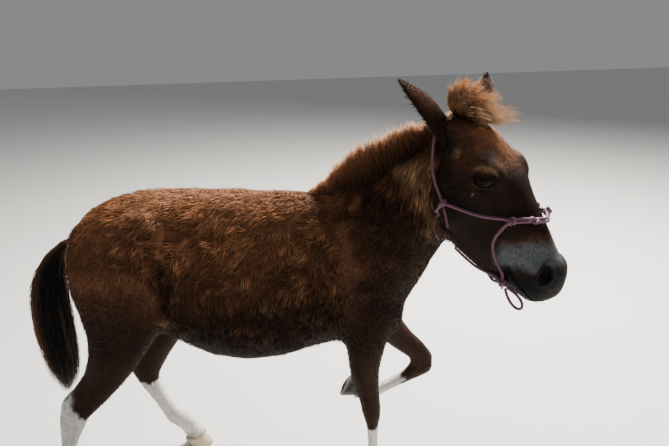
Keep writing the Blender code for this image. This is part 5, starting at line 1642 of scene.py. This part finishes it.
def makeEyes():
    bm = bmesh.new()
    for side in (-1, 1):
        middle, corner, over, out = eyeAxes(side)
        axes = Matrix((Vector(corner), Vector(over), Vector(out))) @ headAxes
        place = Matrix.Translation(onHead(*middle)) @ axes.transposed().to_4x4()
        bmesh.ops.create_uvsphere(bm, u_segments=64, v_segments=48, radius=pose["eyeRadius"], matrix=place)
    piece = addPiece("eyeballs", bm)
    mesh = piece.data
    places = coordinates(mesh)
    colours = np.zeros((len(places), 3))
    for side in (-1, 1):
        mine = (headPlaces(places)[:, 1] * side) > 0
        x, y, z = eyePlaces(places[mine], side).T
        out = np.hypot(x, y)
        streak = 1 + 0.25 * np.sin(np.arctan2(y, x) * 40) + 0.15 * np.sin(np.arctan2(y, x) * 97)
        tint = np.array(eyes["irisColour"])[None] * streak[:, None]
        tint = tint * (0.6 + 0.9 * ease(out, 0.005, 0.015))[:, None]
        edge = ease(out, eyes["iris"] * 0.90, eyes["iris"])[:, None]
        tint = tint * (1 - 0.8 * edge)
        white = (ease(out, eyes["iris"], eyes["iris"] * 1.12) * (z > 0))[:, None]
        tint = tint + (np.array(eyes["white"]) - tint) * white
        pupil = 1 - ease(np.hypot(x / eyes["pupil"][0], y / eyes["pupil"][1]), 0.9, 1.1)
        colours[mine] = tint + (np.array(eyes["pupilColour"]) - tint) * (pupil * (z > 0))[:, None]
    storeColours(mesh, "eyeColour", np.clip(colours, 0, 1))
    mesh.shade_smooth()
    paint, tree, shader = principled("eyePaint", 0.25, Specular_IOR_Level=0.04, Coat_Weight=0.08,
                                     Coat_Roughness=0.04)
    feed(tree, shader, {"Base Color": stored(tree, "eyeColour", "Color")})
    settle(piece, ["eye_left", "eye_right"], paint)


def makeLashes():
    lines, normals, steps = [], [], np.linspace(0, 1, eyes["steps"])
    for side in (-1, 1):
        middle, corner, over, out = eyeAxes(side)
        for count, sign, scale in ((eyes["upperLashes"], 1, 1.0), (eyes["lowerLashes"], -1, 0.6)):
            for index in range(count):
                angle = math.pi * (0.10 + 0.80 * (index + rand.random()) / count) * sign
                flat = lensEdge(np.array([angle]))[0] * 1.03
                depth = math.sqrt(max((pose["eyeRadius"] + 0.0012) ** 2 - flat @ flat, 1e-6))
                root = middle + corner * flat[0] + over * flat[1] + out * depth
                away = unit(out * 0.95 + corner * flat[0] * 30 + over * (0.10 if sign > 0 else -0.5)
                            + rand.normal(size=3) * 0.08)
                droop = over * eyes["droops"][sign]
                size = eyes["lash"] * scale * rand.uniform(0.7, 1.15)
                line = [root + away * size * t + droop * size * t * t for t in steps]
                lines.append(pollPlace + np.array(line) @ headRows)
                normals.append(over @ headRows)
    tree, low = skinTree(), np.array((0.0, 0.0, 0.25))
    feelers = []
    for index in range(eyes["feelers"]):
        side = -1 if index % 2 else 1
        forward, aside, up = (rand.uniform(*ends) for ends in eyes["feelerArea"])
        feelers.append((forward, side * aside, up))
    for place in feelers:
        spot, normal = tree.find_nearest(onHead(*place))[:2]
        away = unit(np.array(normal) + headRows[0] * 0.3 - (0, 0, 0.35))
        size = eyes["feelerLength"] * rand.uniform(0.5, 1.1)
        line = [np.array(spot) + away * size * t - low * size * t * t for t in steps]
        lines.append(np.array(line))
        normals.append(np.array([0.0, 0.0, 1.0]))
    lines, normals = np.array(lines), np.array(normals)
    widths = np.full(len(lines), eyes["lashWidth"])
    colours = np.tile(tintOf("black"), (len(lines), eyes["steps"], 1))
    addStrands("lashes", "coat", (), makeCoatPaint("lashPaint", 0.0003), lines, normals, widths, colours,
               np.full((len(lines), 2), 0.5), flat=0.9)


def makeHornPaint():
    # growth rings round the wall
    paint, tree, shader = principled("hornPaint", 0.48)
    place = stored(tree, "hoofPlace", "Vector")
    noise = noiseOver(tree, place, 60)
    x, z = (addNode(tree, "SeparateXYZ", {0: place}, axis) for axis in ("X", "Z"))
    level = reckoned(tree, "ADD", z, reckoned(tree, "MULTIPLY", x, -0.2))
    level = reckoned(tree, "ADD", level, reckoned(tree, "MULTIPLY", noise, 0.007))
    ring = reckoned(tree, "SINE", reckoned(tree, "MULTIPLY", level, 2 * math.pi / hooves["rings"]))
    shade = reckoned(tree, "ADD", reckoned(tree, "MULTIPLY", ring, 0.05), reckoned(tree, "ADD", noise, 0.5))
    tint = shaded(tree, stored(tree, "hornColour", "Color"), shade)
    feed(tree, shader, {"Base Color": tint, "Normal": raised(tree, ring, 0.18, 0.0008)})
    return paint


def makeHooves():
    bm = bmesh.new()
    for name in hooves["places"]:
        part = joined([name + "_hoof"])
        part.transform(hoofAxes(name).inverted())
        bmesh.ops.dissolve_limit(part, angle_limit=0.01, verts=part.verts, edges=part.edges)
        sole = min(part.faces, key=lambda face: face.calc_center_median().z)
        rounding = {"profile": 0.5, "affect": "EDGES", "material": -1}
        bmesh.ops.bevel(part, geom=sole.edges[:], offset=hooves["soleEdge"], segments=2, **rounding)
        top = max((face for face in part.faces if face.normal.z > 0.9), key=lambda face: face.calc_area())
        bmesh.ops.bevel(part, geom=top.edges[:], offset=hooves["coronet"], segments=4, **rounding)
        sole = max((face for face in part.faces if face.normal.z < -0.9), key=lambda face: face.calc_area())
        bmesh.ops.inset_region(part, faces=[sole], thickness=hooves["wall"], depth=0.0)
        bmesh.ops.inset_region(part, faces=[sole], thickness=0.003, depth=-hooves["dish"])
        frog = bmesh.ops.create_cone(part, cap_ends=True, segments=3, **hooves["frog"])["verts"]
        bmesh.ops.scale(part, vec=hooves["frogShape"], verts=frog)
        bmesh.ops.translate(part, vec=hooves["frogPlace"], verts=frog)
        part.transform(hoofAxes(name))
        made = bpy.data.meshes.new("hoofPart")
        part.to_mesh(made)
        part.free()
        bm.from_mesh(made)
    piece = addPiece("hoof_horn", bm)
    mesh = piece.data
    places = coordinates(mesh)
    local, tints = np.zeros((len(places), 3)), np.zeros((len(places), 3))
    for name in hooves["places"]:
        found = hoofPlaces(places, name)
        mine = np.linalg.norm(found - (0, 0, 0.02), axis=1) < 0.075
        local[mine] = found[mine]
        tints[mine] = np.array(hooves["horn"][name]) * np.clip(0.75 + found[mine][:, 2:3] * 10, 0.6, 1.25)
    storePlaces(mesh, "hoofPlace", local)
    storeColours(mesh, "hornColour", tints)
    mesh.shade_smooth()
    mesh.set_sharp_from_angle(angle=math.radians(40))
    settle(piece, [name + "_hoof" for name in hooves["places"]], makeHornPaint())


makeHalter()
print("halter")
makeEars()
print("ears")
makeMane()
makeForelock()
makeTail()
print("mane, forelock and tail")
makeEyes()
makeLashes()
makeHooves()
print("eyes, lashes and hooves")
